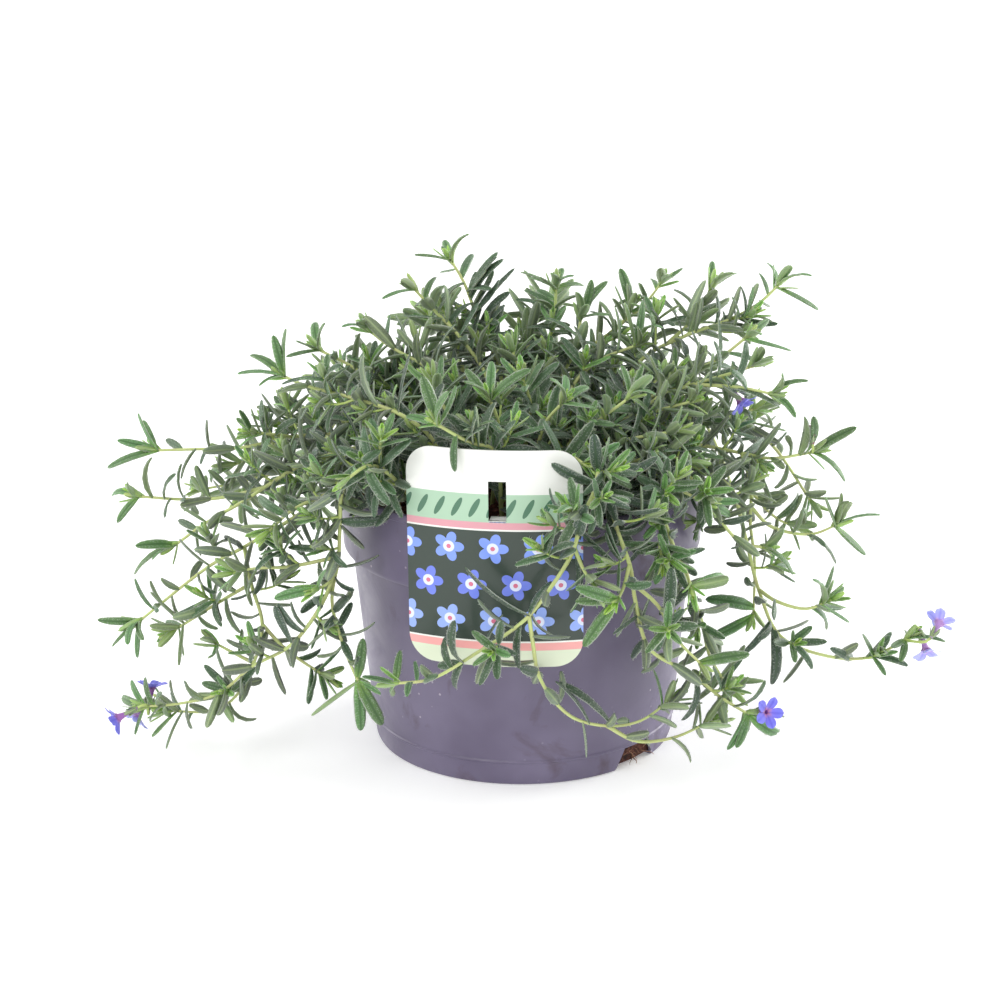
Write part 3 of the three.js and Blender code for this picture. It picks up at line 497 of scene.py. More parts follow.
# Picture label: a card of white polypropylene sheet, 0.8 mm thick with rounded corners, printed and
# varnished. It hangs in front of the rim by a tongue cut out of it that folds back over the rim.
CARD_WIDTH = 0.07
CARD_HEIGHT = 0.089
CARD_THICKNESS = 0.0008
CARD_CORNER = 0.011
CARD_BEND = 0.105
CARD_BOTTOM = 0.0575
CARD_AZIMUTH = math.radians(-99)
CARD_STRIPS = 24
SLOT_OFFSET = 0.002
SLOT_WIDTH = 0.007
SLOT_FOOT = 0.0605
SLOT_HEIGHT = 0.016
TONGUE_REACH = 0.0042
TONGUE_DROP = 0.0075
TONGUE_CLEARANCE = 0.0004
CARD_OUT = RIM_RADIUS + 0.0009

bpy.ops.object.select_all(action="DESELECT")
bpy.ops.mesh.primitive_plane_add(size=1)
card = bpy.context.object
card.name = "picture_label"
for vertex in card.data.vertices:
    vertex.co.x *= CARD_WIDTH
    vertex.co.y = (vertex.co.y + 0.5) * CARD_HEIGHT
bpy.ops.object.mode_set(mode="EDIT")
bpy.ops.mesh.select_all(action="SELECT")
bpy.ops.mesh.bevel(affect="VERTICES", offset=CARD_CORNER, segments=10)
slot_left = SLOT_OFFSET - SLOT_WIDTH / 2
upright_cuts = [CARD_WIDTH * (strip / CARD_STRIPS - 0.5) for strip in range(1, CARD_STRIPS)]
upright_cuts += [slot_left, slot_left + SLOT_WIDTH]
for place in upright_cuts:
    bpy.ops.mesh.select_all(action="SELECT")
    bpy.ops.mesh.bisect(plane_co=(place, 0, 0), plane_no=(1, 0, 0))
for place in (SLOT_FOOT, SLOT_FOOT + SLOT_HEIGHT):
    bpy.ops.mesh.select_all(action="SELECT")
    bpy.ops.mesh.bisect(plane_co=(0, place, 0), plane_no=(0, 1, 0))
bpy.ops.mesh.select_all(action="DESELECT")
bpy.ops.object.mode_set(mode="OBJECT")
for face in card.data.polygons:
    beside_slot = abs(face.center.x - SLOT_OFFSET) < SLOT_WIDTH / 2
    face.select = beside_slot and SLOT_FOOT < face.center.y < SLOT_FOOT + SLOT_HEIGHT
bpy.ops.object.mode_set(mode="EDIT")
bpy.ops.mesh.delete(type="FACE")
bpy.ops.object.mode_set(mode="OBJECT")
thicken = card.modifiers.new("sheet", "SOLIDIFY")
thicken.thickness = CARD_THICKNESS
thicken.offset = 1
bpy.ops.object.modifier_apply(modifier=thicken.name)

# The print follows a UV map laid out before the card is bent
card_uv = card.data.uv_layers.active
for loop in card.data.loops:
    x, y, _ = card.data.vertices[loop.vertex_index].co
    card_uv.data[loop.index].uv = (x / CARD_WIDTH + 0.5, y / CARD_HEIGHT)
for face in card.data.polygons:
    face.material_index = 0 if face.normal.z > 0.5 else 1
for vertex in card.data.vertices:
    across, height, depth = vertex.co
    angle = across / CARD_BEND
    reach = CARD_BEND + depth
    vertex.co = (reach * math.sin(angle), CARD_BEND - reach * math.cos(angle), height)

bpy.ops.object.select_all(action="DESELECT")
bpy.ops.mesh.primitive_plane_add(size=1)
tongue = bpy.context.object
for vertex in tongue.data.vertices:
    side = SLOT_OFFSET + vertex.co.x * (SLOT_WIDTH - TONGUE_CLEARANCE)
    vertex.co = (side, -CARD_THICKNESS, SLOT_FOOT + (vertex.co.y - 0.5) * CARD_THICKNESS)
bpy.ops.object.mode_set(mode="EDIT")
bpy.ops.mesh.select_all(action="SELECT")
for reach in (TONGUE_REACH + CARD_THICKNESS, CARD_THICKNESS):
    bpy.ops.mesh.extrude_region_move(TRANSFORM_OT_translate={"value": (0, reach, 0)})
bpy.ops.mesh.select_all(action="DESELECT")
bpy.ops.object.mode_set(mode="OBJECT")
for face in tongue.data.polygons:
    face.select = face.normal.z < -0.5 and face.center.y > TONGUE_REACH
bpy.ops.object.mode_set(mode="EDIT")
bpy.ops.mesh.extrude_region_move(TRANSFORM_OT_translate={"value": (0, 0, -TONGUE_DROP)})
bpy.ops.mesh.select_all(action="SELECT")
bpy.ops.mesh.normals_make_consistent(inside=False)
bpy.ops.object.mode_set(mode="OBJECT")
for face in tongue.data.polygons:
    face.material_index = 1
tongue.data.materials.append(None)
tongue.data.materials.append(None)
select_only(tongue, card)
bpy.ops.object.join()
card_turn = Matrix.Rotation(CARD_AZIMUTH + math.pi / 2, 4, "Z")
card_foot = (CARD_OUT * math.cos(CARD_AZIMUTH), CARD_OUT * math.sin(CARD_AZIMUTH), CARD_BOTTOM)
card_place = Matrix.Translation(card_foot)
card.data.transform(card_place @ card_turn)
bpy.ops.object.shade_smooth_by_angle(angle=math.radians(30))

# Offset print under a clear varnish on white polypropylene. The design is bands of garden colours:
# a dark green one with a row of five-petalled blossoms and a sage one with a row of leaves.
PRINT_BANDS = [
    (0, "#dde6cc"), (0.075, "#f2a9a6"), (0.11, "#eef0ea"), (0.12, "#2b3a31"), (0.63, "#eef0ea"),
    (0.64, "#d99aa5"), (0.67, "#a9c9ae"), (0.8, "#f1f2ee"),
]
BLOSSOM_PITCH = 17.5
BLOSSOM_RADIUS = 7.6
BLOSSOM_ROWS = [(49, 0, "#7d9bf0"), (34, BLOSSOM_PITCH / 2, "#6c7fe2"), (19, 0, "#93aef4")]
BLOSSOM_EDGE = (0.42, 0.82)
BLOSSOM_CORE = 0.3
BLOSSOM_EYE = 0.12
SPRIG_PITCH = 7
SPRIG_HEIGHT = 65.5
SPRIG_RADII = (1.3, 3.9)
plain_card, plain_shader = new_material("White polypropylene sheet", 0.45, 1.49)
plain_shader.inputs["Base Color"].default_value = linear("#f1f1ee")
print_film, print_shader = new_material(
    "Printed and varnished polypropylene sheet", 0.38, 1.49, Coat_Weight=0.35
)
print_shader.inputs["Coat Roughness"].default_value = 0.16
layout = add_node(print_film, "UVMap")
millimetres = add_node(
    print_film, "Mapping", {"Scale": (CARD_WIDTH * 1000, CARD_HEIGHT * 1000, 1)}, {"Vector": (layout, "UV")}
)
share = add_node(print_film, "SeparateXYZ", links={"Vector": (layout, "UV")})
bands = add_node(
    print_film, "ValToRGB", {"stops": PRINT_BANDS, "interpolation": "CONSTANT"}, {"Fac": (share, "Y")}
)
printed = (bands, "Color")


def print_shape(under, mask, colour):
    """The print with a mask laid over it in one colour."""
    return (
        add_node(print_film, "Mix", {"data_type": "RGBA", 7: linear(colour)}, {0: (mask, 0), 6: under}), 2
    )


for row_height, row_shift, petal_colour in BLOSSOM_ROWS:
    # Places in a row of equal tiles, measured from the middle of each tile
    moved = add_node(
        print_film, "VectorMath", {"operation": "SUBTRACT", 1: (row_shift, row_height, 0)},
        {0: (millimetres, "Vector")},
    )
    axes = add_node(print_film, "SeparateXYZ", links={"Vector": (moved, 0)})
    half = BLOSSOM_PITCH / 2
    tile = add_node(print_film, "Math", {"operation": "WRAP", 1: -half, 2: half}, {0: (axes, "X")})
    angle = add_node(print_film, "Math", {"operation": "ARCTAN2"}, {0: (axes, "Y"), 1: (tile, 0)})
    turns = add_node(print_film, "Math", {"operation": "MULTIPLY", 1: 2.5}, {0: (angle, 0)})
    wave = add_node(print_film, "Math", {"operation": "COSINE"}, {0: (turns, 0)})
    petals = add_node(print_film, "Math", {"operation": "ABSOLUTE"}, {0: (wave, 0)})
    waist, tip = (share * BLOSSOM_RADIUS for share in BLOSSOM_EDGE)
    edge = add_node(print_film, "MapRange", {"To Min": waist, "To Max": tip}, {"Value": (petals, 0)})
    flat = add_node(print_film, "CombineXYZ", links={"X": (tile, 0), "Y": (axes, "Y")})
    distance = add_node(print_film, "VectorMath", {"operation": "LENGTH"}, {0: (flat, 0)})
    inside = add_node(print_film, "Math", {"operation": "LESS_THAN"}, {0: (distance, "Value"), 1: (edge, 0)})
    printed = print_shape(printed, inside, petal_colour)
    for size, colour in ((BLOSSOM_CORE, "#dfe6fb"), (BLOSSOM_EYE, "#d56f8d")):
        disc = add_node(
            print_film, "Math", {"operation": "LESS_THAN", 1: size * BLOSSOM_RADIUS},
            {0: (distance, "Value")},
        )
        printed = print_shape(printed, disc, colour)

moved = add_node(
    print_film, "VectorMath", {"operation": "SUBTRACT", 1: (0, SPRIG_HEIGHT, 0)}, {0: (millimetres, "Vector")}
)
axes = add_node(print_film, "SeparateXYZ", links={"Vector": (moved, 0)})
tile = add_node(
    print_film, "Math", {"operation": "WRAP", 1: -SPRIG_PITCH / 2, 2: SPRIG_PITCH / 2}, {0: (axes, "X")}
)
slant = add_node(print_film, "Math", {"operation": "MULTIPLY_ADD", 1: -0.5}, {0: (axes, "Y"), 2: (tile, 0)})
flat = add_node(print_film, "CombineXYZ", {"Z": 0}, {"X": (slant, 0), "Y": (axes, "Y")})
stretch = (1 / SPRIG_RADII[0], 1 / SPRIG_RADII[1], 1)
stretched = add_node(print_film, "Mapping", {"Scale": stretch}, {"Vector": (flat, 0)})
distance = add_node(print_film, "VectorMath", {"operation": "LENGTH"}, {0: (stretched, 0)})
leaf_mask = add_node(print_film, "Math", {"operation": "LESS_THAN", 1: 1}, {0: (distance, "Value")})
printed = print_shape(printed, leaf_mask, "#47745a")
join_sockets(print_film, *printed, print_shader, "Base Color")

card.data.materials.clear()
card.data.materials.append(print_film)
card.data.materials.append(plain_card)
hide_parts("label")
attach(card, "root")


# Leafy stems: evergreen stems, green to straw-coloured and set with stiff pale hairs. Each grows out
# of the crown, arches over the rim and trails, with side branches and short tufted shoots. The
# leaves are narrow and leathery, with a sunken midrib and rolled edges, and young ones are bright.
# The routes are those of the fixed frame: each runs from where the stem leaves the mix to its tip.
STEMS = {
    "left_long": {
        "root": (-0.034, 0.006),
        "route": [
            (-0.056, 0.01, 0.129), (-0.079, 0.014, 0.126), (-0.096, 0.016, 0.124), (-0.117, 0.018, 0.119),
            (-0.134, 0.02, 0.118), (-0.154, 0.022, 0.117),
        ],
        "branches": [
            [(-0.096, 0.016, 0.124), (-0.104, 0.008, 0.128), (-0.112, 0.004, 0.13)],
            [(-0.101, 0.016, 0.123), (-0.113, 0.024, 0.112), (-0.123, 0.028, 0.108)],
        ],
    },
    "left_mid": {
        "root": (-0.044, -0.014),
        "route": [
            (-0.061, -0.022, 0.131), (-0.078, -0.022, 0.128), (-0.09, -0.02, 0.123),
            (-0.115, -0.016, 0.106), (-0.128, -0.014, 0.098), (-0.144, -0.012, 0.086),
        ],
    },
    "left_level": {
        "root": (-0.05, 0.012),
        "route": [
            (-0.07, 0.005, 0.119), (-0.084, 0.003, 0.113), (-0.107, 0.004, 0.106), (-0.126, 0.006, 0.101),
            (-0.141, 0.008, 0.1), (-0.161, 0.01, 0.101),
        ],
        "branches": [
            [
                (-0.084, 0.003, 0.113), (-0.101, 0.014, 0.109), (-0.121, 0.022, 0.102),
                (-0.136, 0.026, 0.098),
            ],
        ],
    },
    "left_low": {
        "root": (-0.05, -0.028),
        "route": [
            (-0.064, -0.038, 0.127), (-0.077, -0.04, 0.118), (-0.091, -0.036, 0.107),
            (-0.113, -0.03, 0.092), (-0.127, -0.026, 0.083), (-0.159, -0.02, 0.056),
        ],
        "branches": [
            [(-0.077, -0.04, 0.118), (-0.091, -0.048, 0.114), (-0.102, -0.052, 0.105)],
            [
                (-0.113, -0.03, 0.092), (-0.11, -0.034, 0.078), (-0.106, -0.036, 0.062),
                (-0.108, -0.036, 0.05), (-0.118, -0.034, 0.029), (-0.128, -0.033, 0.022),
                (-0.149, -0.032, 0.022),
            ],
            [(-0.11, -0.034, 0.078), (-0.123, -0.027, 0.068), (-0.146, -0.023, 0.052)],
            [(-0.106, -0.036, 0.062), (-0.096, -0.042, 0.052), (-0.078, -0.05, 0.042)],
            [(-0.11, -0.035, 0.045), (-0.12, -0.028, 0.046), (-0.128, -0.024, 0.049)],
        ],
        "blooms": ["left_low"],
    },
    "left_hang": {
        "root": (-0.044, -0.038),
        "route": [
            (-0.061, -0.054, 0.134), (-0.07, -0.056, 0.126), (-0.072, -0.056, 0.11),
            (-0.073, -0.056, 0.096), (-0.076, -0.058, 0.079), (-0.072, -0.06, 0.061),
            (-0.066, -0.06, 0.044),
        ],
        "branches": [
            [(-0.073, -0.056, 0.096), (-0.076, -0.062, 0.089), (-0.082, -0.067, 0.087)],
            [
                (-0.073, -0.056, 0.097), (-0.094, -0.048, 0.09), (-0.108, -0.044, 0.088),
                (-0.118, -0.042, 0.085),
            ],
            [
                (-0.074, -0.057, 0.09), (-0.082, -0.06, 0.075), (-0.094, -0.056, 0.059),
                (-0.11, -0.05, 0.048), (-0.124, -0.046, 0.035), (-0.14, -0.044, 0.03),
                (-0.156, -0.042, 0.028),
            ],
        ],
        "blooms": ["left_end", "left_side"],
    },
    "front_left": {
        "root": (-0.04, -0.046),
        "route": [
            (-0.053, -0.062, 0.134), (-0.06, -0.073, 0.14), (-0.068, -0.081, 0.137),
        ],
        "branches": [
            [(-0.055, -0.065, 0.136), (-0.055, -0.068, 0.145), (-0.054, -0.071, 0.152)],
        ],
    },
    "front_long": {
        "root": (0.022, -0.05),
        "route": [
            (0.029, -0.072, 0.137), (0.027, -0.082, 0.131), (0.022, -0.087, 0.122), (0.019, -0.088, 0.11),
            (0.01, -0.089, 0.095), (0, -0.089, 0.082), (-0.019, -0.088, 0.068), (-0.037, -0.087, 0.057),
            (-0.052, -0.086, 0.055),
        ],
        "branches": [
            [
                (0.002, -0.089, 0.085), (0.003, -0.088, 0.073), (0.006, -0.086, 0.056),
                (0.018, -0.081, 0.038), (0.033, -0.077, 0.032), (0.046, -0.072, 0.032),
                (0.06, -0.066, 0.04),
            ],
            [
                (0.033, -0.077, 0.032), (0.044, -0.076, 0.025), (0.059, -0.071, 0.024),
                (0.076, -0.062, 0.028),
            ],
            [(0.019, -0.088, 0.11), (0.023, -0.092, 0.103), (0.028, -0.094, 0.096)],
            [(0.022, -0.087, 0.122), (0.021, -0.092, 0.126), (0.017, -0.097, 0.13)],
        ],
    },
    "front_rose": {
        "root": (0.008, -0.054),
        "route": [
            (0.018, -0.064, 0.14), (0.025, -0.071, 0.138),
        ],
    },
    "front_right": {
        "root": (0.034, -0.044),
        "route": [
            (0.033, -0.068, 0.127), (0.036, -0.078, 0.115), (0.041, -0.082, 0.101), (0.043, -0.082, 0.087),
            (0.049, -0.078, 0.065), (0.066, -0.07, 0.051), (0.078, -0.063, 0.038), (0.091, -0.054, 0.026),
        ],
        "branches": [
            [(0.041, -0.082, 0.101), (0.038, -0.09, 0.095), (0.035, -0.097, 0.092)],
            [(0.042, -0.082, 0.094), (0.052, -0.084, 0.085), (0.059, -0.082, 0.071), (0.07, -0.077, 0.057)],
        ],
        "blooms": ["front_right"],
    },
    "right_front": {
        "root": (0.046, -0.032),
        "route": [
            (0.049, -0.056, 0.123), (0.055, -0.063, 0.113), (0.06, -0.065, 0.099), (0.065, -0.061, 0.086),
            (0.071, -0.054, 0.067), (0.075, -0.048, 0.049), (0.084, -0.042, 0.032),
        ],
        "branches": [
            [(0.06, -0.065, 0.099), (0.064, -0.071, 0.093), (0.065, -0.077, 0.089)],
            [(0.055, -0.063, 0.113), (0.053, -0.07, 0.106), (0.054, -0.076, 0.1)],
        ],
    },
    "right_low": {
        "root": (0.034, -0.03),
        "route": [
            (0.036, -0.043, 0.13), (0.047, -0.049, 0.13), (0.058, -0.052, 0.124), (0.073, -0.05, 0.115),
        ],
        "branches": [
            [(0.042, -0.046, 0.131), (0.056, -0.04, 0.132), (0.069, -0.036, 0.127)],
        ],
    },
    "right_high": {
        "root": (0.026, 0.002),
        "route": [
            (0.037, 0, 0.133), (0.049, 0.002, 0.132), (0.073, 0.006, 0.13), (0.083, 0.008, 0.132),
            (0.098, 0.01, 0.136),
        ],
    },
    "right_near": {
        "root": (0.026, -0.024),
        "route": [
            (0.03, -0.034, 0.134), (0.04, -0.038, 0.138), (0.064, -0.038, 0.142),
        ],
    },
    "right_mid": {
        "root": (0.044, -0.004),
        "route": [
            (0.05, -0.008, 0.125), (0.069, -0.01, 0.127), (0.09, -0.01, 0.123), (0.102, -0.008, 0.12),
            (0.121, -0.006, 0.122),
        ],
        "branches": [
            [
                (0.09, -0.01, 0.123), (0.094, -0.008, 0.108), (0.094, -0.008, 0.092),
                (0.096, -0.008, 0.076), (0.096, -0.008, 0.05),
            ],
            [(0.094, -0.008, 0.1), (0.103, -0.004, 0.089), (0.12, 0, 0.084), (0.132, 0.004, 0.087)],
            [(0.093, -0.009, 0.113), (0.095, -0.002, 0.104), (0.107, 0.008, 0.088), (0.116, 0.012, 0.083)],
        ],
        "blooms": ["withered"],
    },
    "right_in": {
        "root": (0.049, -0.022),
        "route": [
            (0.06, -0.034, 0.124), (0.072, -0.039, 0.118), (0.08, -0.038, 0.103), (0.088, -0.034, 0.093),
            (0.099, -0.03, 0.089),
        ],
    },
    "right_long": {
        "root": (0.038, -0.014),
        "route": [
            (0.05, -0.023, 0.125), (0.07, -0.024, 0.122), (0.084, -0.024, 0.113), (0.09, -0.024, 0.094),
            (0.097, -0.024, 0.067), (0.106, -0.024, 0.048), (0.127, -0.022, 0.038), (0.144, -0.02, 0.037),
            (0.16, -0.018, 0.045),
        ],
        "branches": [
            [(0.096, -0.024, 0.07), (0.103, -0.03, 0.066), (0.115, -0.034, 0.064), (0.126, -0.036, 0.069)],
        ],
        "blooms": ["right_end", "right_under"],
    },
    "top_right_far": {
        "root": (0.026, 0.026),
        "route": [
            (0.05, 0.032, 0.15), (0.071, 0.038, 0.16), (0.088, 0.042, 0.165), (0.101, 0.046, 0.171),
            (0.11, 0.048, 0.179),
        ],
        "branches": [
            [(0.061, 0.035, 0.156), (0.076, 0.05, 0.166), (0.082, 0.056, 0.177)],
        ],
    },
    "top_right_mid": {
        "root": (0.032, 0.015),
        "route": [
            (0.054, 0.018, 0.144), (0.071, 0.02, 0.149), (0.083, 0.02, 0.155), (0.095, 0.022, 0.164),
        ],
    },
    "top_right_near": {
        "root": (0.032, -0.008),
        "route": [
            (0.048, -0.009, 0.144), (0.069, -0.006, 0.151), (0.085, -0.004, 0.155), (0.096, -0.002, 0.158),
        ],
        "branches": [
            [(0.069, -0.006, 0.151), (0.088, -0.017, 0.153), (0.102, -0.021, 0.151)],
        ],
        "blooms": ["top_right"],
    },
    "top_mid_far": {
        "root": (0.004, 0.04),
        "route": [
            (0.012, 0.046, 0.15), (0.015, 0.052, 0.163), (0.016, 0.054, 0.178),
        ],
    },
    "top_mid": {
        "root": (0.008, 0.024),
        "route": [
            (0.016, 0.027, 0.142), (0.023, 0.03, 0.156), (0.026, 0.032, 0.171),
        ],
    },
    "top_mid_right": {
        "root": (0.018, 0.01),
        "route": [
            (0.021, 0.012, 0.144), (0.031, 0.014, 0.155), (0.05, 0.018, 0.162),
        ],
    },
    "mid_right": {
        "root": (0.014, -0.026),
        "route": [
            (0.02, -0.033, 0.137), (0.029, -0.037, 0.145), (0.044, -0.039, 0.157),
        ],
    },
    "mid": {
        "root": (0.002, -0.03),
        "route": [
            (0.009, -0.039, 0.145), (0.017, -0.045, 0.157),
        ],
    },
    "mid_right_low": {
        "root": (0.03, -0.014),
        "route": [
            (0.038, -0.018, 0.138), (0.054, -0.022, 0.145), (0.069, -0.025, 0.15),
        ],
        "branches": [
            [(0.044, -0.019, 0.141), (0.056, -0.013, 0.149), (0.061, -0.008, 0.155)],
        ],
    },
    "top_right_back": {
        "root": (0.018, 0.04),
        "route": [
            (0.03, 0.052, 0.15), (0.043, 0.06, 0.158), (0.049, 0.063, 0.167),
        ],
        "branches": [
            [(0.038, 0.057, 0.155), (0.054, 0.066, 0.166), (0.062, 0.07, 0.175)],
        ],
    },
    "mid_left": {
        "root": (-0.012, -0.03),
        "route": [
            (-0.009, -0.038, 0.145), (-0.013, -0.045, 0.159),
        ],
    },
    "front_mid_left": {
        "root": (-0.008, -0.052),
        "route": [
            (-0.011, -0.064, 0.143), (-0.02, -0.07, 0.148), (-0.034, -0.072, 0.157),
        ],
    },
    "top_left_tall": {
        "root": (-0.008, 0.028),
        "route": [
            (-0.008, 0.034, 0.145), (-0.017, 0.038, 0.167), (-0.023, 0.042, 0.183), (-0.029, 0.044, 0.193),
        ],
    },
    "top_left": {
        "root": (-0.018, 0.014),
        "route": [
            (-0.013, 0.016, 0.146), (-0.023, 0.02, 0.163), (-0.036, 0.026, 0.176), (-0.044, 0.03, 0.184),
        ],
    },
    "left_front_high": {
        "root": (-0.03, -0.036),
        "route": [
            (-0.035, -0.05, 0.143), (-0.047, -0.052, 0.154), (-0.065, -0.046, 0.159),
            (-0.085, -0.04, 0.163), (-0.095, -0.038, 0.167),
        ],
    },
    "left_back": {
        "root": (-0.038, 0.022),
        "route": [
            (-0.043, 0.024, 0.141), (-0.061, 0.026, 0.146), (-0.073, 0.03, 0.152), (-0.085, 0.034, 0.157),
        ],
    },
    "crown_mid": {
        "root": (0, 0.008),
        "route": [
            (-0.002, 0.006, 0.13), (0.001, 0.009, 0.148), (-0.004, 0.012, 0.164),
        ],
    },
    "crown_near": {
        "root": (0.004, -0.012),
        "route": [
            (0.002, -0.012, 0.13), (0.004, -0.016, 0.146), (0, -0.02, 0.161),
        ],
    },
    "crown_side": {
        "root": (-0.016, -0.014),
        "route": [
            (-0.022, -0.014, 0.13), (-0.03, -0.016, 0.144), (-0.036, -0.014, 0.158),
        ],
    },
    "left_top": {
        "root": (-0.022, 0),
        "route": [
            (-0.024, 0.002, 0.146), (-0.038, 0.007, 0.156), (-0.054, 0.013, 0.164), (-0.063, 0.018, 0.17),
        ],
    },
}

# Leaves that stand out in the photograph, by the pixel column and row of their tips and, where a
# stem is long or bends near them, of their feet. Each one still grows out of its stem.
SEEN_LEAVES = {
    "left_long": [
        (117, 440), (107, 468), (138, 413), (143, 420), (223, 444), (239, 410), (201, 464), (212, 481),
    ],
    "left_mid": [(135, 546), (134, 575), (152, 560), (178, 520)],
    "left_level": [
        (112, 496), (127, 483), (117, 523), (176, 474, 165, 497), (152, 457, 151, 497), (190, 488),
        (185, 500), (192, 478),
    ],
    "left_low": [
        (97, 620), (112, 647), (128, 645), (135, 578, 154, 612), (236, 542), (258, 496), (264, 565),
        (288, 516), (144, 640), (137, 658), (159, 610), (201, 638), (222, 621), (208, 657),
    ],
    "left_hang": [
        (274, 599, 315, 590), (288, 557), (355, 590), (324, 628), (326, 570), (390, 517, 341, 523),
        (355, 495), (330, 496), (361, 731), (311, 716, 356, 684), (383, 725), (381, 694, 361, 683),
        (349, 596, 335, 609), (352, 602, 345, 628), (345, 643, 335, 618), (363, 638, 360, 676),
        (352, 661, 346, 640), (278, 603, 308, 633), (275, 606, 293, 643), (131, 680, 136, 700),
        (145, 677, 152, 699), (122, 697, 132, 701), (135, 735, 145, 714), (150, 721, 164, 705),
        (162, 693, 163, 703), (171, 716, 166, 705),
    ],
    "front_left": [(355, 470), (338, 500), (372, 500)],
    "front_long": [
        (465, 567, 529, 615), (552, 581, 526, 609), (503, 614, 483, 648), (446, 636, 454, 669),
        (517, 654, 490, 647), (455, 688, 463, 666), (519, 669, 521, 626), (520, 668, 538, 672),
        (533, 684, 537, 673), (555, 681, 589, 727), (557, 682, 615, 724), (400, 650, 394, 680),
        (362, 677, 392, 680), (395, 694, 394, 680), (414, 661, 418, 682), (407, 697, 413, 687),
        (438, 676, 427, 683), (455, 620, 463, 660), (558, 513), (559, 528), (569, 487),
    ],
    "front_rose": [(594, 421), (620, 443), (616, 486), (583, 514), (526, 449)],
    "front_right": [
        (575, 587), (575, 601), (620, 554), (671, 567), (583, 647), (631, 658), (613, 634), (650, 625),
        (785, 717), (765, 733), (778, 732), (727, 750), (736, 748), (747, 731), (765, 680), (749, 677),
        (681, 721), (750, 654), (736, 654),
    ],
    "right_front": [(670, 534), (724, 575), (729, 579), (659, 615), (698, 602), (703, 615)],
    "right_low": [(682, 472), (709, 475), (661, 495), (675, 517), (730, 516), (715, 501), (740, 501)],
    "right_high": [(780, 402), (771, 427)],
    "right_mid": [
        (857, 427), (813, 416, 808, 455), (845, 482), (805, 417, 797, 457), (881, 515), (826, 497),
        (842, 493), (850, 502), (866, 555), (803, 509), (825, 547), (771, 500), (788, 495), (798, 493),
        (836, 564), (705, 599, 750, 607), (708, 639, 751, 616),
    ],
    "right_in": [(793, 575), (784, 529), (783, 558), (752, 515)],
    "right_long": [
        (772, 685, 771, 630), (813, 580, 825, 602), (826, 629, 813, 608), (830, 648, 847, 660),
        (853, 656, 843, 659), (885, 650, 868, 661), (892, 647, 908, 640), (905, 632, 911, 641),
        (900, 662, 909, 645), (946, 642, 908, 643), (757, 640, 770, 622), (742, 655, 757, 628),
    ],
    "top_right_far": [
        (812, 276), (792, 266), (767, 263), (759, 273), (737, 273), (819, 310), (712, 261), (734, 273),
    ],
    "top_right_mid": [(769, 319), (792, 351), (761, 335)],
    "top_right_near": [(764, 348), (773, 356), (809, 381), (773, 358), (782, 374), (796, 418)],
    "top_mid_far": [
        (563, 268), (540, 277), (520, 272), (528, 278), (515, 300), (533, 300), (574, 276), (524, 290),
        (537, 290), (584, 286), (552, 274),
    ],
    "top_mid": [(587, 304), (609, 315), (599, 290), (608, 281), (577, 292), (592, 279)],
    "top_mid_right": [(638, 327), (663, 328), (625, 302), (643, 300), (650, 312)],
    "top_right_back": [(640, 296), (620, 268), (660, 268), (640, 283), (651, 280), (683, 268), (672, 276)],
    "mid_right": [(621, 365), (643, 365), (652, 375), (604, 394), (656, 395), (650, 416)],
    "mid": [(550, 379), (565, 375), (589, 387), (595, 408)],
    "mid_right_low": [(698, 380), (710, 373), (667, 386), (689, 388)],
    "mid_left": [(465, 369), (492, 361), (531, 369), (520, 407), (464, 382)],
    "front_mid_left": [
        (422, 376), (456, 385), (449, 392), (476, 416), (406, 416), (503, 465, 463, 448),
        (553, 460, 494, 452), (455, 472, 455, 440),
    ],
    "top_left_tall": [
        (469, 234), (444, 240), (414, 255), (498, 252), (504, 259), (497, 257), (508, 277), (499, 280),
        (515, 268), (510, 292), (486, 270), (505, 305), (440, 272),
    ],
    "top_left": [(401, 280), (382, 299), (436, 277), (444, 286)],
    "left_front_high": [(237, 374), (250, 355), (273, 335), (286, 328), (259, 386)],
    "left_back": [(296, 341), (315, 322), (325, 323), (286, 357)],
    "left_top": [(390, 314), (361, 321), (342, 327)],
}

# Stems at the back arch evenly over the rim: azimuth in degrees, root radius, reach, and the
# heights of the arch's top and of the tip
BACK_STEMS = {
    "back_right_low": (22, 0.054, 0.13, 0.128, 0.084),
    "back_right": (44, 0.055, 0.122, 0.133, 0.07),
    "back_right_mid": (62, 0.054, 0.134, 0.13, 0.092),
    "back_near": (79, 0.056, 0.118, 0.134, 0.058),
    "back_mid": (95, 0.054, 0.13, 0.13, 0.08),
    "back_left_near": (111, 0.056, 0.122, 0.135, 0.062),
    "back_left_mid": (127, 0.054, 0.134, 0.131, 0.088),
    "back_left": (144, 0.055, 0.124, 0.134, 0.066),
    "back_left_low": (160, 0.054, 0.138, 0.128, 0.082),
    "crown_back": (86, 0.034, 0.084, 0.158, 0.166),
    "crown_back_left": (122, 0.034, 0.092, 0.156, 0.158),
    "crown_left": (147, 0.04, 0.092, 0.15, 0.14),
}
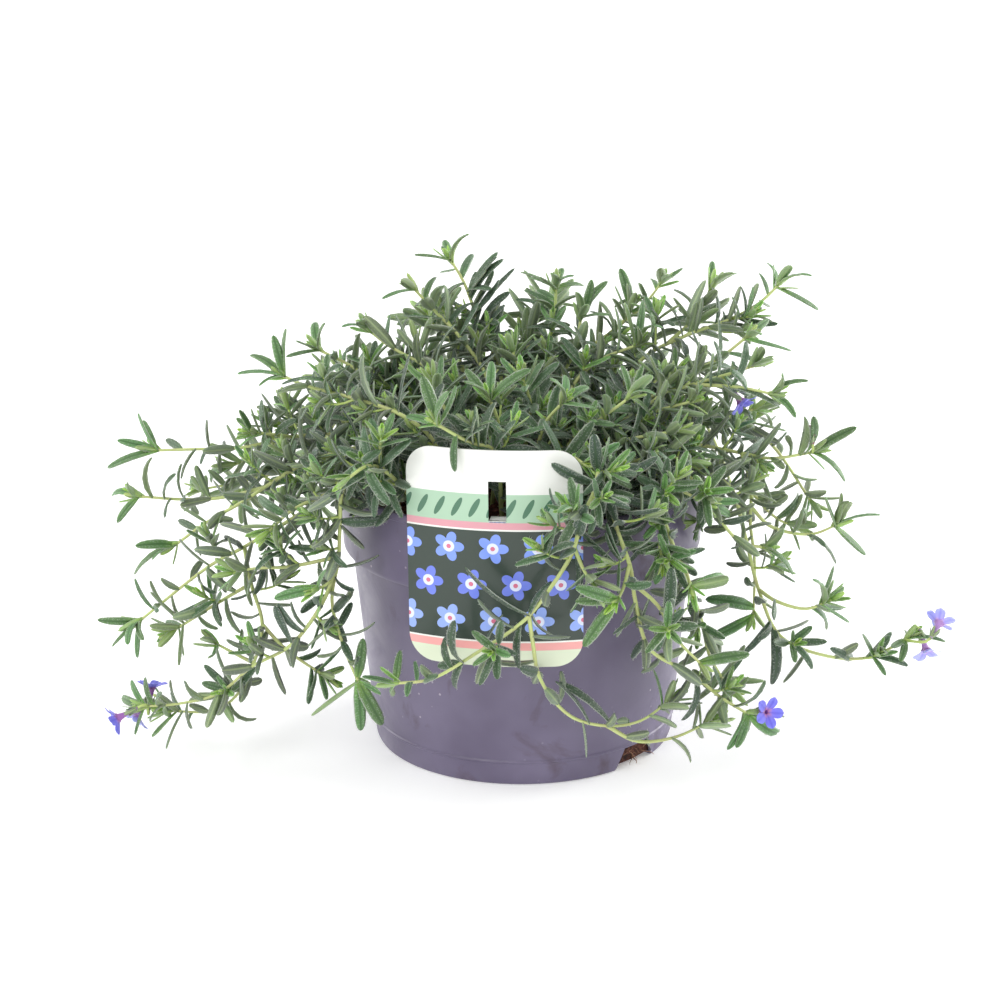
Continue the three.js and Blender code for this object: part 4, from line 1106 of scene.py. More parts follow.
BLOOMS = {
    "left_end": {"mouth": (-0.165, -0.046, 0.025), "facing": (-0.85, -0.15, -0.4)},
    "left_low": {"mouth": (-0.16, -0.027, 0.018), "facing": (-0.5, -0.4, -0.75)},
    "left_side": {"mouth": (-0.153, -0.033, 0.032), "facing": (0.1, 0.3, 0.9)},
    "right_end": {"mouth": (0.171, -0.022, 0.052), "facing": (0.45, 0.7, 0.4)},
    "right_under": {"mouth": (0.166, -0.022, 0.041), "facing": (0.2, -0.6, -0.75)},
    "front_right": {"mouth": (0.097, -0.058, 0.029), "facing": (0.4, -0.8, 0.25)},
    "top_right": {"mouth": (0.089, -0.009, 0.145), "facing": (0.5, -0.4, -0.6)},
    "withered": {"mouth": (0.117, -0.012, 0.134), "facing": (-0.2, -0.1, 1)},
}
COROLLA_TUBE = 0.0085
BUD_LENGTH = 0.007
STEM_RADIUS = 0.00105
BRANCH_RADIUS = 0.00085
SHOOT_RADIUS = 0.0006
LINE_STEP = 0.0025
ROOT_DEPTH = 0.011
MOUND_REACH = 0.1
MOUND_FLOOR = 0.113
GOLDEN_ANGLE = 2.39996
LEAF_STATIONS = [(0, 0.4), (0.1, 0.62), (0.28, 0.93), (0.5, 1), (0.72, 0.93), (0.88, 0.7), (0.96, 0.42)]
TUFT_STATIONS = [(0, 0.45), (0.25, 0.88), (0.55, 1), (0.88, 0.66)]
LEAF_SECTION = [(1, -0.14), (0.5, 0.17), (0, -0.04), (-0.5, 0.17), (-1, -0.14), (0, -0.3)]
PIXEL_SIZE = CAMERA_DISTANCE / FOCAL_LENGTH_PIXELS
# How many times further apart the leaves of the barer stems stand
SPARSE_STEMS = {"front_long": 2.2, "right_long": 3, "right_mid": 1.5}
# Lengths, widths and spacing of the leaves in the mound and on the trailing stems
MOUND_LEAVES = ((0.017, 0.025), (0.004, 0.0053), 0.0029)
TRAIL_LEAVES = ((0.012, 0.019), (0.0035, 0.0047), 0.0055)
SEEN_LENGTHS = (0.015, 0.022)
SEEN_WIDTH_SHARE = 0.24
SEEN_WIDTHS = (0.0033, 0.0053)
# How far along a stem and along a branch the first leaf and the first shoot stand
STEM_STARTS = {"leaf": 0.02, "shoot": 0.022}
BRANCH_STARTS = {"leaf": 0.009, "shoot": 0.018}
LEAFY_TIP = 0.05
ROSETTE_DEPTH = 0.009
SHOOT_LENGTHS = (0.007, 0.017)
SHOOT_LEAF_LENGTHS = (0.012, 0.018)
SHOOT_LEAF_WIDTH = 0.0034
MOUND_SHOOT_STEP = 0.0125
TRAIL_SHOOT_STEP = 0.036
SEPALS = 5
SEPAL_LENGTH = 0.0072
SEPAL_WIDTH = 0.0015
SEPAL_SPREAD = 0.42
STALK_END = 0.004
STALK_GAP = 0.0003
# Hairs: their width and lengths, and how far apart they stand
BRISTLE_WIDTH = 0.00015
STEM_HAIR_LENGTHS = (0.0007, 0.0014)
LEAF_HAIR_LENGTHS = (0.0005, 0.0011)
HAIR_SPACING = 0.0021
STEM_HAIR_SPACING = 0.0009
SHOOT_HAIR_SPACING = 0.002
STALK_HAIR_SPACING = 0.0007


def arch_route(azimuth, root_radius, reach, top, end):
    """The route of an arching stem: up to its top at two fifths of its reach, then down."""
    route = []
    for share in (0.2, 0.42, 0.72, 1):
        rising = max(0, (0.4 - share) / 0.4)
        falling = max(0, (share - 0.4) / 0.6)
        height = top - (top - SOIL_TOP) * 0.8 * rising ** 2 - (top - end) * falling ** 2
        angle = math.radians(azimuth + 7 * share * share * (1 if azimuth % 2 else -1))
        radius = root_radius + (reach - root_radius) * share
        route.append((radius * math.cos(angle), radius * math.sin(angle), height))
    return route


for name, (azimuth, root_radius, reach, top, end) in BACK_STEMS.items():
    angle = math.radians(azimuth)
    STEMS[name] = {
        "root": (root_radius * math.cos(angle), root_radius * math.sin(angle)),
        "route": arch_route(azimuth, root_radius, reach, top, end),
    }


def unit(vectors):
    """Vectors scaled to length 1, one or many."""
    vectors = np.asarray(vectors, float)
    return vectors / np.linalg.norm(vectors, axis=-1, keepdims=True)


def smooth_line(points):
    """A centripetal Catmull-Rom curve through the points, as evenly spaced places on it."""
    given = np.array(points, float)
    given = np.vstack([2 * given[0] - given[1], given, 2 * given[-1] - given[-2]])
    share = np.linspace(0, 1, 12, endpoint=False)[:, None]
    stretches = []
    for before, start, end, after in zip(given, given[1:], given[2:], given[3:]):
        first, middle, last = (
            np.linalg.norm(b - a) ** 0.5 for a, b in ((before, start), (start, end), (end, after))
        )
        leaving = (start - before) / first - (end - before) / (first + middle) + (end - start) / middle
        arriving = (end - start) / middle - (after - start) / (middle + last) + (after - end) / last
        leaving = leaving * middle
        arriving = arriving * middle
        square = -3 * start + 3 * end - 2 * leaving - arriving
        cube = 2 * start - 2 * end + leaving + arriving
        stretches.append(start + leaving * share + square * share ** 2 + cube * share ** 3)
    return evenly_spaced(np.vstack([*stretches, given[-2:-1]]))


def evenly_spaced(points):
    travelled = np.concatenate([[0], np.cumsum(np.linalg.norm(np.diff(points, axis=0), axis=1))])
    count = max(4, round(travelled[-1] / LINE_STEP) + 1)
    places = np.linspace(0, travelled[-1], count)
    return np.stack([np.interp(places, travelled, points[:, axis]) for axis in range(3)], axis=1)


class Line:
    """The middle line of a stem, a branch, a shoot or a stalk."""

    def __init__(self, points, radius, tip_radius=None):
        self.points = points
        steps = np.linalg.norm(np.diff(points, axis=0), axis=1)
        self.travelled = np.concatenate([[0], np.cumsum(steps)])
        self.length = self.travelled[-1]
        self.tangents = unit(np.gradient(points, axis=0))
        self.radii = np.linspace(radius, tip_radius or 0.55 * radius, len(points))

    def at(self, distance):
        point, tangent = (
            np.array([np.interp(distance, self.travelled, values[:, axis]) for axis in range(3)])
            for values in (self.points, self.tangents)
        )
        return point, unit(tangent)


def nearest_point(lines, point):
    places = np.vstack([line.points[:-1] for line in lines])
    return places[np.argmin(np.linalg.norm(places - np.array(point), axis=1))]


def leaf_template(stations):
    """A closed leaf of unit length and unit half width, drawn out of its cross-section."""
    bpy.ops.object.select_all(action="DESELECT")
    bpy.ops.mesh.primitive_circle_add(vertices=len(LEAF_SECTION), radius=1, fill_type="NGON")
    leaf = bpy.context.object
    for vertex, (across, height) in zip(leaf.data.vertices, LEAF_SECTION):
        vertex.co = (stations[0][1] * across, 0, stations[0][1] ** 0.5 * height)
    bpy.ops.object.mode_set(mode="EDIT")
    bpy.ops.mesh.select_all(action="SELECT")
    place, half = stations[0]
    for next_place, next_half in stations[1:]:
        step = {"value": (0, next_place - place, 0)}
        bpy.ops.mesh.extrude_region_move(TRANSFORM_OT_translate=step)
        grow = next_half / half
        bpy.ops.transform.resize(value=(grow, 1, grow ** 0.5), center_override=(0, next_place, 0))
        place, half = next_place, next_half
    bpy.ops.mesh.extrude_region_move(TRANSFORM_OT_translate={"value": (0, 1 - place, 0)})
    bpy.ops.mesh.merge(type="CENTER")
    bpy.ops.mesh.select_all(action="SELECT")
    bpy.ops.mesh.normals_make_consistent(inside=False)
    bpy.ops.object.mode_set(mode="OBJECT")
    mesh = leaf.data
    points = np.array([vertex.co for vertex in mesh.vertices])
    places, halves = zip(*stations, (1, 0.3))
    edge = np.interp(points[:, 1], places, halves)
    corners = np.array([loop.vertex_index for loop in mesh.loops])
    sizes = np.array([len(face.vertices) for face in mesh.polygons])
    slots = np.array([1 if face.normal.z < -0.05 else 0 for face in mesh.polygons])
    layout = np.stack([0.5 + 0.5 * points[:, 0] / edge, points[:, 1]], axis=1)[corners]
    margins = []
    for sign in (1, -1):
        margin = points[sign * points[:, 0] > 0.95 * edge]
        margins.append(margin[np.argsort(margin[:, 1])])
    bpy.data.objects.remove(leaf)
    return {
        "points": points,
        "corners": corners,
        "sizes": sizes,
        "slots": slots,
        "layout": layout,
        "margins": margins,
    }


FULL_LEAF = leaf_template(LEAF_STATIONS)
TUFT_LEAF = leaf_template(TUFT_STATIONS)
LEAF_UPPER, LEAF_UNDER, STEM_SKIN, BRISTLE = range(4)


class Growth:
    """The leaves, stems and bristles of one plant piece, gathered before they become one mesh."""

    def __init__(self):
        self.points = []
        self.corners = []
        self.sizes = []
        self.slots = []
        self.layout = []
        self.age = []
        self.tint = []
        self.count = 0

    def add(self, points, corners, sizes, slots, age, tint, layout=None):
        self.points.append(points)
        self.corners.append(corners + self.count)
        self.sizes.append(sizes)
        self.slots.append(slots)
        self.layout.append(np.zeros((len(corners), 2)) if layout is None else layout)
        self.age.append(np.full(len(sizes), age, float))
        self.tint.append(np.full(len(sizes), tint, float))
        self.count += len(points)

    def as_object(self, name):
        mesh = bpy.data.meshes.new(name)
        points = np.concatenate(self.points)
        corners = np.concatenate(self.corners)
        sizes = np.concatenate(self.sizes)
        mesh.vertices.add(len(points))
        mesh.vertices.foreach_set("co", points.ravel())
        mesh.loops.add(len(corners))
        mesh.loops.foreach_set("vertex_index", corners)
        mesh.polygons.add(len(sizes))
        mesh.polygons.foreach_set("loop_start", np.cumsum(sizes) - sizes)
        mesh.polygons.foreach_set("material_index", np.concatenate(self.slots))
        mesh.polygons.foreach_set("use_smooth", np.ones(len(sizes), bool))
        mesh.uv_layers.new(name="blade").data.foreach_set("uv", np.concatenate(self.layout).ravel())
        for key, values in (("age", self.age), ("tint", self.tint)):
            mesh.attributes.new(key, "FLOAT", "FACE").data.foreach_set("value", np.concatenate(values))
        mesh.update(calc_edges=True)
        made = bpy.data.objects.new(name, mesh)
        bpy.context.scene.collection.objects.link(made)
        return made


def add_tube(growth, line, sides, age, tint):
    """A round stem along a line, closed at both ends."""
    angles = np.arange(sides) * 2 * math.pi / sides
    side = np.cross(line.tangents[0], (0.31, 0.22, 0.92))
    rings = []
    for point, tangent, radius in zip(line.points, line.tangents, line.radii):
        side = unit(side - side.dot(tangent) * tangent)
        top = np.cross(tangent, side)
        rings.append(point + radius * (np.cos(angles)[:, None] * side + np.sin(angles)[:, None] * top))
    count = len(rings)
    first = (np.arange(count - 1)[:, None] * sides + np.arange(sides)).ravel()
    after = (np.arange(count - 1)[:, None] * sides + (np.arange(sides) + 1) % sides).ravel()
    walls = np.stack([first, after, after + sides, first + sides], axis=1).ravel()
    caps = np.concatenate([np.arange(sides)[::-1], np.arange(sides) + (count - 1) * sides])
    sizes = np.concatenate([np.full(len(first), 4), [sides, sides]])
    growth.add(
        np.concatenate(rings), np.concatenate([walls, caps]), sizes, np.full(len(sizes), STEM_SKIN), age, tint
    )


SPIKE_CORNERS = np.array([0, 2, 1, 0, 1, 3, 1, 2, 3, 2, 0, 3])


def add_bristles(growth, feet, headings, lengths):
    """Stiff hairs: closed three-sided spikes, one on each foot."""
    headings = unit(headings)
    side = unit(np.cross(headings, (0.31, 0.22, 0.92)))
    top = np.cross(headings, side)
    points = np.empty((len(feet), 4, 3))
    for corner in range(3):
        angle = corner * 2 * math.pi / 3
        points[:, corner] = feet + BRISTLE_WIDTH / 2 * (math.cos(angle) * side + math.sin(angle) * top)
    points[:, 3] = feet + headings * lengths[:, None]
    corners = (SPIKE_CORNERS + 4 * np.arange(len(feet))[:, None]).ravel()
    faces = 4 * len(feet)
    growth.add(points.reshape(-1, 3), corners, np.full(faces, 3), np.full(faces, BRISTLE), 0.5, 0.5)


def stem_bristles(growth, line, spacing, draws):
    count = int(line.length / spacing)
    if count == 0:
        return
    distances = np.linspace(0.003, line.length, count)
    feet = []
    headings = []
    for distance in distances:
        point, tangent = line.at(distance)
        out = unit(np.cross(tangent, draws.normal(size=3)))
        radius = np.interp(distance, line.travelled, line.radii)
        feet.append(point + 0.9 * radius * out)
        headings.append(out + 0.5 * tangent)
    lengths = draws.uniform(*STEM_HAIR_LENGTHS, count)
    add_bristles(growth, np.array(feet), np.array(headings), lengths)


low_corner = np.array(cad_box[0]) - 0.012
high_corner = np.array(cad_box[1]) + 0.012
card_upright = np.array((card_place @ card_turn).inverted())


def blocked(points):
    """Whether a leaf would stand in the pot, in the mix, in the card or far outside the frame."""
    x, y, z = points.T
    radius = np.hypot(x, y)
    shell = np.where(z < BAND_BOTTOM, body_radius(z) + 0.0006, RIM_RADIUS + 0.0012)
    low = z < POT_HEIGHT + 0.0004
    in_wall = low & (radius < shell) & (radius > RIM_RADIUS - WALL - 0.0008)
    in_mix = (z < SOIL_TOP + 0.0012) & (radius < shell)
    across, depth, height = card_upright[:3, :3] @ points.T + card_upright[:3, 3:4]
    depth = depth - CARD_BEND * (1 - np.cos(across / CARD_BEND))
    near_card = (abs(across) < CARD_WIDTH / 2 + 0.0005) & (abs(height - CARD_HEIGHT / 2) < CARD_HEIGHT / 2)
    in_card = near_card & (depth > -CARD_THICKNESS - 0.0008) & (depth < 0.0035)
    outside = (points < low_corner).any(axis=1) | (points > high_corner).any(axis=1) | (z < 0.0015)
    return (in_wall | in_mix | in_card | outside).any()


def add_leaf(growth, foot, along, up, length, width, age, draws, template=None, bow=None, fold=None):
    """Grows one leaf. Returns False where something is in the way."""
    template = template or FULL_LEAF
    bow = draws.normal(0.6, 0.55) if bow is None else bow
    fold = draws.normal(0.05, 0.14) if fold is None else fold
    twist = draws.normal(0, 0.25)
    along = unit(along)
    up = unit(up - np.dot(up, along) * along)
    side = np.cross(along, up)
    half = width / 2
    bow = bow if abs(bow) > 0.02 else 0.02

    def placed(points):
        across = points[:, 0] * half
        height = points[:, 2] * half + fold * abs(across)
        turn = twist * points[:, 1]
        turned = across * np.cos(turn) - height * np.sin(turn)
        height = across * np.sin(turn) + height * np.cos(turn)
        bend = bow * points[:, 1]
        forward = length * np.sin(bend) / bow
        drop = length * (1 - np.cos(bend)) / bow
        normal = np.cos(bend)[:, None] * up + np.sin(bend)[:, None] * along
        middle = foot + forward[:, None] * along - drop[:, None] * up
        return middle + turned[:, None] * side + height[:, None] * normal

    points = placed(template["points"])
    if blocked(points[len(LEAF_SECTION):]):
        return False
    growth.add(
        points, template["corners"], template["sizes"], template["slots"], age, draws.random(),
        template["layout"],
    )
    # Hairs along both edges and on the faces
    count = int(length / HAIR_SPACING)
    feet = []
    headings = []
    margins = [placed(margin) for margin in template["margins"]]
    for margin, other in (margins, margins[::-1]):
        places = draws.uniform(0.5, len(margin) - 1, count)
        lower = places.astype(int).clip(max=len(margin) - 2)
        share = (places - lower)[:, None]
        foot_points = margin[lower] * (1 - share) + margin[lower + 1] * share
        opposite = other[lower] * (1 - share) + other[lower + 1] * share
        feet.append(foot_points)
        headings.append(unit(foot_points - opposite) + 0.35 * along + draws.normal(0, 0.25, (count, 3)))
    lengths = draws.uniform(*LEAF_HAIR_LENGTHS, 2 * count)
    add_bristles(growth, np.concatenate(feet), np.concatenate(headings), lengths)
    return True


def across_line(tangent, roll):
    """A direction square to a tangent, at a roll angle about it."""
    guide = (1, 0, 0) if abs(tangent[2]) > 0.95 else (0, 0, 1)
    side = unit(np.cross(tangent, guide))
    top = np.cross(side, tangent)
    return math.cos(roll) * side + math.sin(roll) * top


def leaf_on(growth, line, distance, roll, pitch, length, width, age, draws, template=None, **bends):
    """Grows a leaf from inside a stem, and tries other sides where one is blocked."""
    foot, tangent = line.at(distance)
    for turn in (0, 0.7, -0.7, 1.5, -1.5, 2.6):
        out = across_line(tangent, roll + turn)
        along = math.cos(pitch) * tangent + math.sin(pitch) * out + np.array([0, 0, 0.12])
        up = unit(tangent - np.dot(tangent, unit(along)) * unit(along)) + np.array([0, 0, 0.35])
        if add_leaf(growth, foot, along, up, length, width, age, draws, template, **bends):
            return True
    return False


def in_mound(point):
    return math.hypot(point[0], point[1]) < MOUND_REACH and point[2] > MOUND_FLOOR


def grow_rosette(growth, line, count, size, draws, outer=0):
    """The tuft of leaves at a tip: long spread ones below, small upright bright ones in the middle."""
    roll = draws.uniform(0, 2 * math.pi)
    for index in range(count):
        inner = outer + (1 - outer) * index / max(1, count - 1)
        roll += GOLDEN_ANGLE
        distance = line.length - 0.0003 - (1 - inner) * 0.008 * size
        length = size * (0.0175 - 0.0125 * inner ** 1.3) * draws.uniform(0.88, 1.12)
        width = (0.0043 - 0.0024 * inner) * (0.6 + 0.4 * size) * draws.uniform(0.88, 1.12)
        pitch = 1.2 - 0.95 * inner + draws.normal(0, 0.12)
        age = 0.62 - 0.62 * inner ** 0.8 + draws.normal(0, 0.05)
        leaf_on(
            growth, line, distance, roll, pitch, length, width, age, draws,
            TUFT_LEAF if inner > 0.5 else FULL_LEAF,
            bow=draws.normal(0.3 - 0.5 * inner, 0.2), fold=0.1 + 0.25 * inner,
        )


def seen_pixels(points):
    """The columns and rows at which the camera sees the points."""
    away = np.asarray(points) - np.array(camera.matrix_world.translation)
    depth = -away @ np.array(camera_back)
    columns = IMAGE_SIDE_PIXELS / 2 + FOCAL_LENGTH_PIXELS * (away @ np.array(camera_right)) / depth
    rows = IMAGE_SIDE_PIXELS / 2 - FOCAL_LENGTH_PIXELS * (away @ np.array(camera_up)) / depth
    return np.stack([columns, rows], axis=1)


def seen_at(pixel, depth):
    """The place at a depth y that the camera sees at a pixel."""
    sideways = (pixel[0] - IMAGE_SIDE_PIXELS / 2) / FOCAL_LENGTH_PIXELS
    upward = (IMAGE_SIDE_PIXELS / 2 - pixel[1]) / FOCAL_LENGTH_PIXELS
    ray = np.array(sideways * camera_right + upward * camera_up - camera_back)
    origin = np.array(camera.matrix_world.translation)
    return origin + ray * (depth - origin[1]) / ray[1]


def line_seen_near(lines, pixel):
    """The line that passes nearest to a pixel, how far along it that is, and how far off in pixels."""
    best = None
    for line in lines:
        off = np.linalg.norm(seen_pixels(line.points) - pixel, axis=1)
        nearest = int(np.argmin(off))
        if best is None or off[nearest] < best[2]:
            best = (line, line.travelled[nearest], off[nearest])
    return best


def grow_seen_leaf(growth, lines, pixels, draws):
    """A leaf whose tip is where the photograph shows it. Returns its line and place on the line."""
    tip_pixel = pixels[:2]
    foot_pixel = pixels[2:]
    line, distance, off = line_seen_near(lines, foot_pixel or tip_pixel)
    if not foot_pixel:
        distance -= (0.5 if distance < line.length - 0.001 else 0.12) * off * PIXEL_SIZE
    distance = min(max(distance, 0.02), line.length - 0.0015)
    foot, tangent = line.at(distance)
    level_tip = seen_at(tip_pixel, foot[1])
    seen_length = np.linalg.norm(level_tip - foot)
    natural = draws.uniform(*SEEN_LENGTHS)
    lean = 0.75 * math.sqrt(max(0, natural ** 2 - seen_length ** 2))
    lean *= -1 if draws.random() < 0.6 else 1
    age = min(1, 0.34 + (line.length - distance) / LEAFY_TIP)
    for depth_step in (lean, -lean, 0.3 * lean, -0.3 * lean, -0.007, -0.012):
        tip = seen_at(tip_pixel, foot[1] + depth_step)
        chord = unit(tip - foot)
        bow = draws.normal(0.6, 0.45)
        up = 0.6 * tangent + np.array([0, 0, 0.5]) + 0.45 * np.array(camera_back) + draws.normal(0, 0.2, 3)
        up = unit(up - up.dot(chord) * chord)
        along = math.cos(bow / 2) * chord + math.sin(bow / 2) * up
        length = np.linalg.norm(tip - foot) * (1 + bow ** 2 / 24)
        width = min(max(SEEN_WIDTH_SHARE * length, SEEN_WIDTHS[0]), SEEN_WIDTHS[1])
        width *= draws.uniform(0.85, 1.1)
        if add_leaf(growth, foot, along, up, length, width, age, draws, bow=bow, fold=0.12):
            break
    return line, distance


def grow_shoot(growth, line, distance, roll, length, draws):
    """A short side shoot that ends in a tuft."""
    foot, tangent = line.at(distance)
    for turn in (0, 1.2, -1.2, 2.4):
        out = across_line(tangent, roll + turn)
        heading = unit(0.55 * tangent + 0.85 * out + np.array([0, 0, 0.45]))
        tip = foot + length * heading + np.array([0, 0, 0.2 * length])
        if blocked(np.array([foot + 0.4 * length * heading, tip + 0.004 * heading])):
            continue
        middle = foot + 0.5 * length * heading
        shoot = Line(smooth_line([foot, middle, tip]), SHOOT_RADIUS, 0.6 * SHOOT_RADIUS)
        add_tube(growth, shoot, 5, 0.25, draws.random())
        stem_bristles(growth, shoot, SHOOT_HAIR_SPACING, draws)
        size = draws.uniform(0.65, 0.95)
        for share in (0.3, 0.6):
            leaf_on(
                growth, shoot, share * shoot.length, draws.uniform(0, 2 * math.pi), 1.05,
                draws.uniform(*SHOOT_LEAF_LENGTHS), SHOOT_LEAF_WIDTH, 0.75, draws,
            )
        grow_rosette(growth, shoot, draws.integers(8, 11), size, draws)
        return


def grow_line(growth, line, first, seen_tips, sparse, draws):
    """The leaves along a stem or a branch, and the tuft at its end."""
    roll = draws.uniform(0, 2 * math.pi)
    distance = first
    while distance < line.length - ROSETTE_DEPTH:
        point, _ = line.at(distance)
        roll += GOLDEN_ANGLE + draws.normal(0, 0.2)
        mature = min(1, (line.length - distance) / LEAFY_TIP)
        crowded = in_mound(point)
        lengths, widths, step = MOUND_LEAVES if crowded else TRAIL_LEAVES
        length = draws.uniform(*lengths)
        width = draws.uniform(*widths)
        step *= 1 if crowded else sparse
        length *= 0.75 + 0.25 * mature
        pitch = draws.normal(1.05, 0.24)
        leaf_on(growth, line, distance, roll, pitch, length, width, 0.5 + 0.5 * mature, draws)
        distance += step * draws.uniform(0.75, 1.25)
    size = draws.uniform(0.85, 1.1)
    if seen_tips > 1:
        grow_rosette(growth, line, 6, size, draws, outer=0.55)
    else:
        grow_rosette(growth, line, 12, size, draws)


def grow_shoots(growth, line, first, draws):
    distance = first
    while distance < line.length - 0.02:
        point, _ = line.at(distance)
        length = draws.uniform(*SHOOT_LENGTHS)
        grow_shoot(growth, line, distance, draws.uniform(0, 2 * math.pi), length, draws)
        step = MOUND_SHOOT_STEP if in_mound(point) else TRAIL_SHOOT_STEP
        distance += step * draws.uniform(0.8, 1.2)


def grow_calyx(growth, end, out, draws):
    """Narrow hairy sepals round the end of a stalk."""
    for index in range(SEPALS):
        side = across_line(unit(out), index * 2 * math.pi / SEPALS + 0.3)
        along = math.cos(SEPAL_SPREAD) * unit(out) + math.sin(SEPAL_SPREAD) * side
        foot = np.array(end) - 0.0006 * unit(out)
        up = unit(out) - np.dot(unit(out), along) * along - 0.2 * side
        add_leaf(
            growth, foot, along, up, SEPAL_LENGTH * draws.uniform(0.85, 1.1), SEPAL_WIDTH, 0.42, draws,
            TUFT_LEAF, bow=draws.normal(-0.1, 0.15), fold=0.2,
        )


def grow_plant(name, stem, draws):
    """One plant piece: its stem, branches, stalks, calyxes, shoots and leaves."""
    growth = Growth()
    x, y = stem["root"]
    next_x, next_y = stem["route"][0][:2]
    start = [
        (x, y, SOIL_TOP - ROOT_DEPTH), (x, y, SOIL_TOP - 0.005), (x, y, SOIL_TOP + 0.002),
        (x + 0.15 * (next_x - x), y + 0.15 * (next_y - y), SOIL_TOP + 0.008),
    ]
    lines = [Line(smooth_line([*start, *stem["route"]]), STEM_RADIUS)]
    for branch in stem.get("branches", []):
        fork = nearest_point(lines, branch[0])
        lines.append(Line(smooth_line([fork, *branch[1:]]), BRANCH_RADIUS))
    for line in lines:
        add_tube(growth, line, 8, 0.6, draws.random())
        stem_bristles(growth, line, STEM_HAIR_SPACING, draws)
    for bloom in stem.get("blooms", []):
        out = unit(BLOOMS[bloom]["facing"])
        tube = BUD_LENGTH if bloom == "withered" else COROLLA_TUBE
        end = np.array(BLOOMS[bloom]["mouth"]) - (tube + STALK_GAP) * out
        elbow = end - STALK_END * out
        fork = nearest_point(lines, elbow)
        share = np.linspace(0, 1, 9)[:, None]
        bezier = (1 - share) ** 2 * fork + 2 * share * (1 - share) * elbow + share ** 2 * end
        stalk = Line(evenly_spaced(bezier), SHOOT_RADIUS, SHOOT_RADIUS)
        add_tube(growth, stalk, 6, 0.3, draws.random())
        stem_bristles(growth, stalk, STALK_HAIR_SPACING, draws)
        grow_calyx(growth, end, out, draws)
    near_end = [grow_seen_leaf(growth, lines, pixels, draws) for pixels in SEEN_LEAVES.get(name, [])]
    sparse = SPARSE_STEMS.get(name, 1)
    for index, line in enumerate(lines):
        starts = BRANCH_STARTS if index else STEM_STARTS
        seen_tips = sum(leafy is line and place > line.length - 0.008 for leafy, place in near_end)
        grow_line(growth, line, starts["leaf"], seen_tips, sparse, draws)
        if sparse == 1 or index == 0:
            grow_shoots(growth, line, starts["shoot"], draws)
    return growth.as_object("leafy_stem_of_" + name)


# A leaf's upper face is a dark grey-green with a waxy skin. Hairs stand on pale swollen feet, which
# whiten its two flanks, so the sunken midrib shows as a darker line between them. The edges roll
# under and are paler with their pale hairs, and a painted highlight of the hairs catching light is
# laid along them as well. The youngest leaves, and the feet of all leaves, are yellow-green.
LEAF_GREENS = [(0, "#9cc546"), (0.16, "#7ba94a"), (0.36, "#587f48"), (0.62, "#476344"), (1, "#3c4f40")]
UNDER_GREENS = [(0, "#a5c262"), (0.3, "#88a06d"), (1, "#768370")]
STEM_GREENS = [(0, "#a9c45c"), (0.5, "#c2d187"), (1, "#b5a97e")]
HAIR_FOOT_PITCH = 0.0007
HAIR_FOOT_COLOUR = "#c6cbc3"


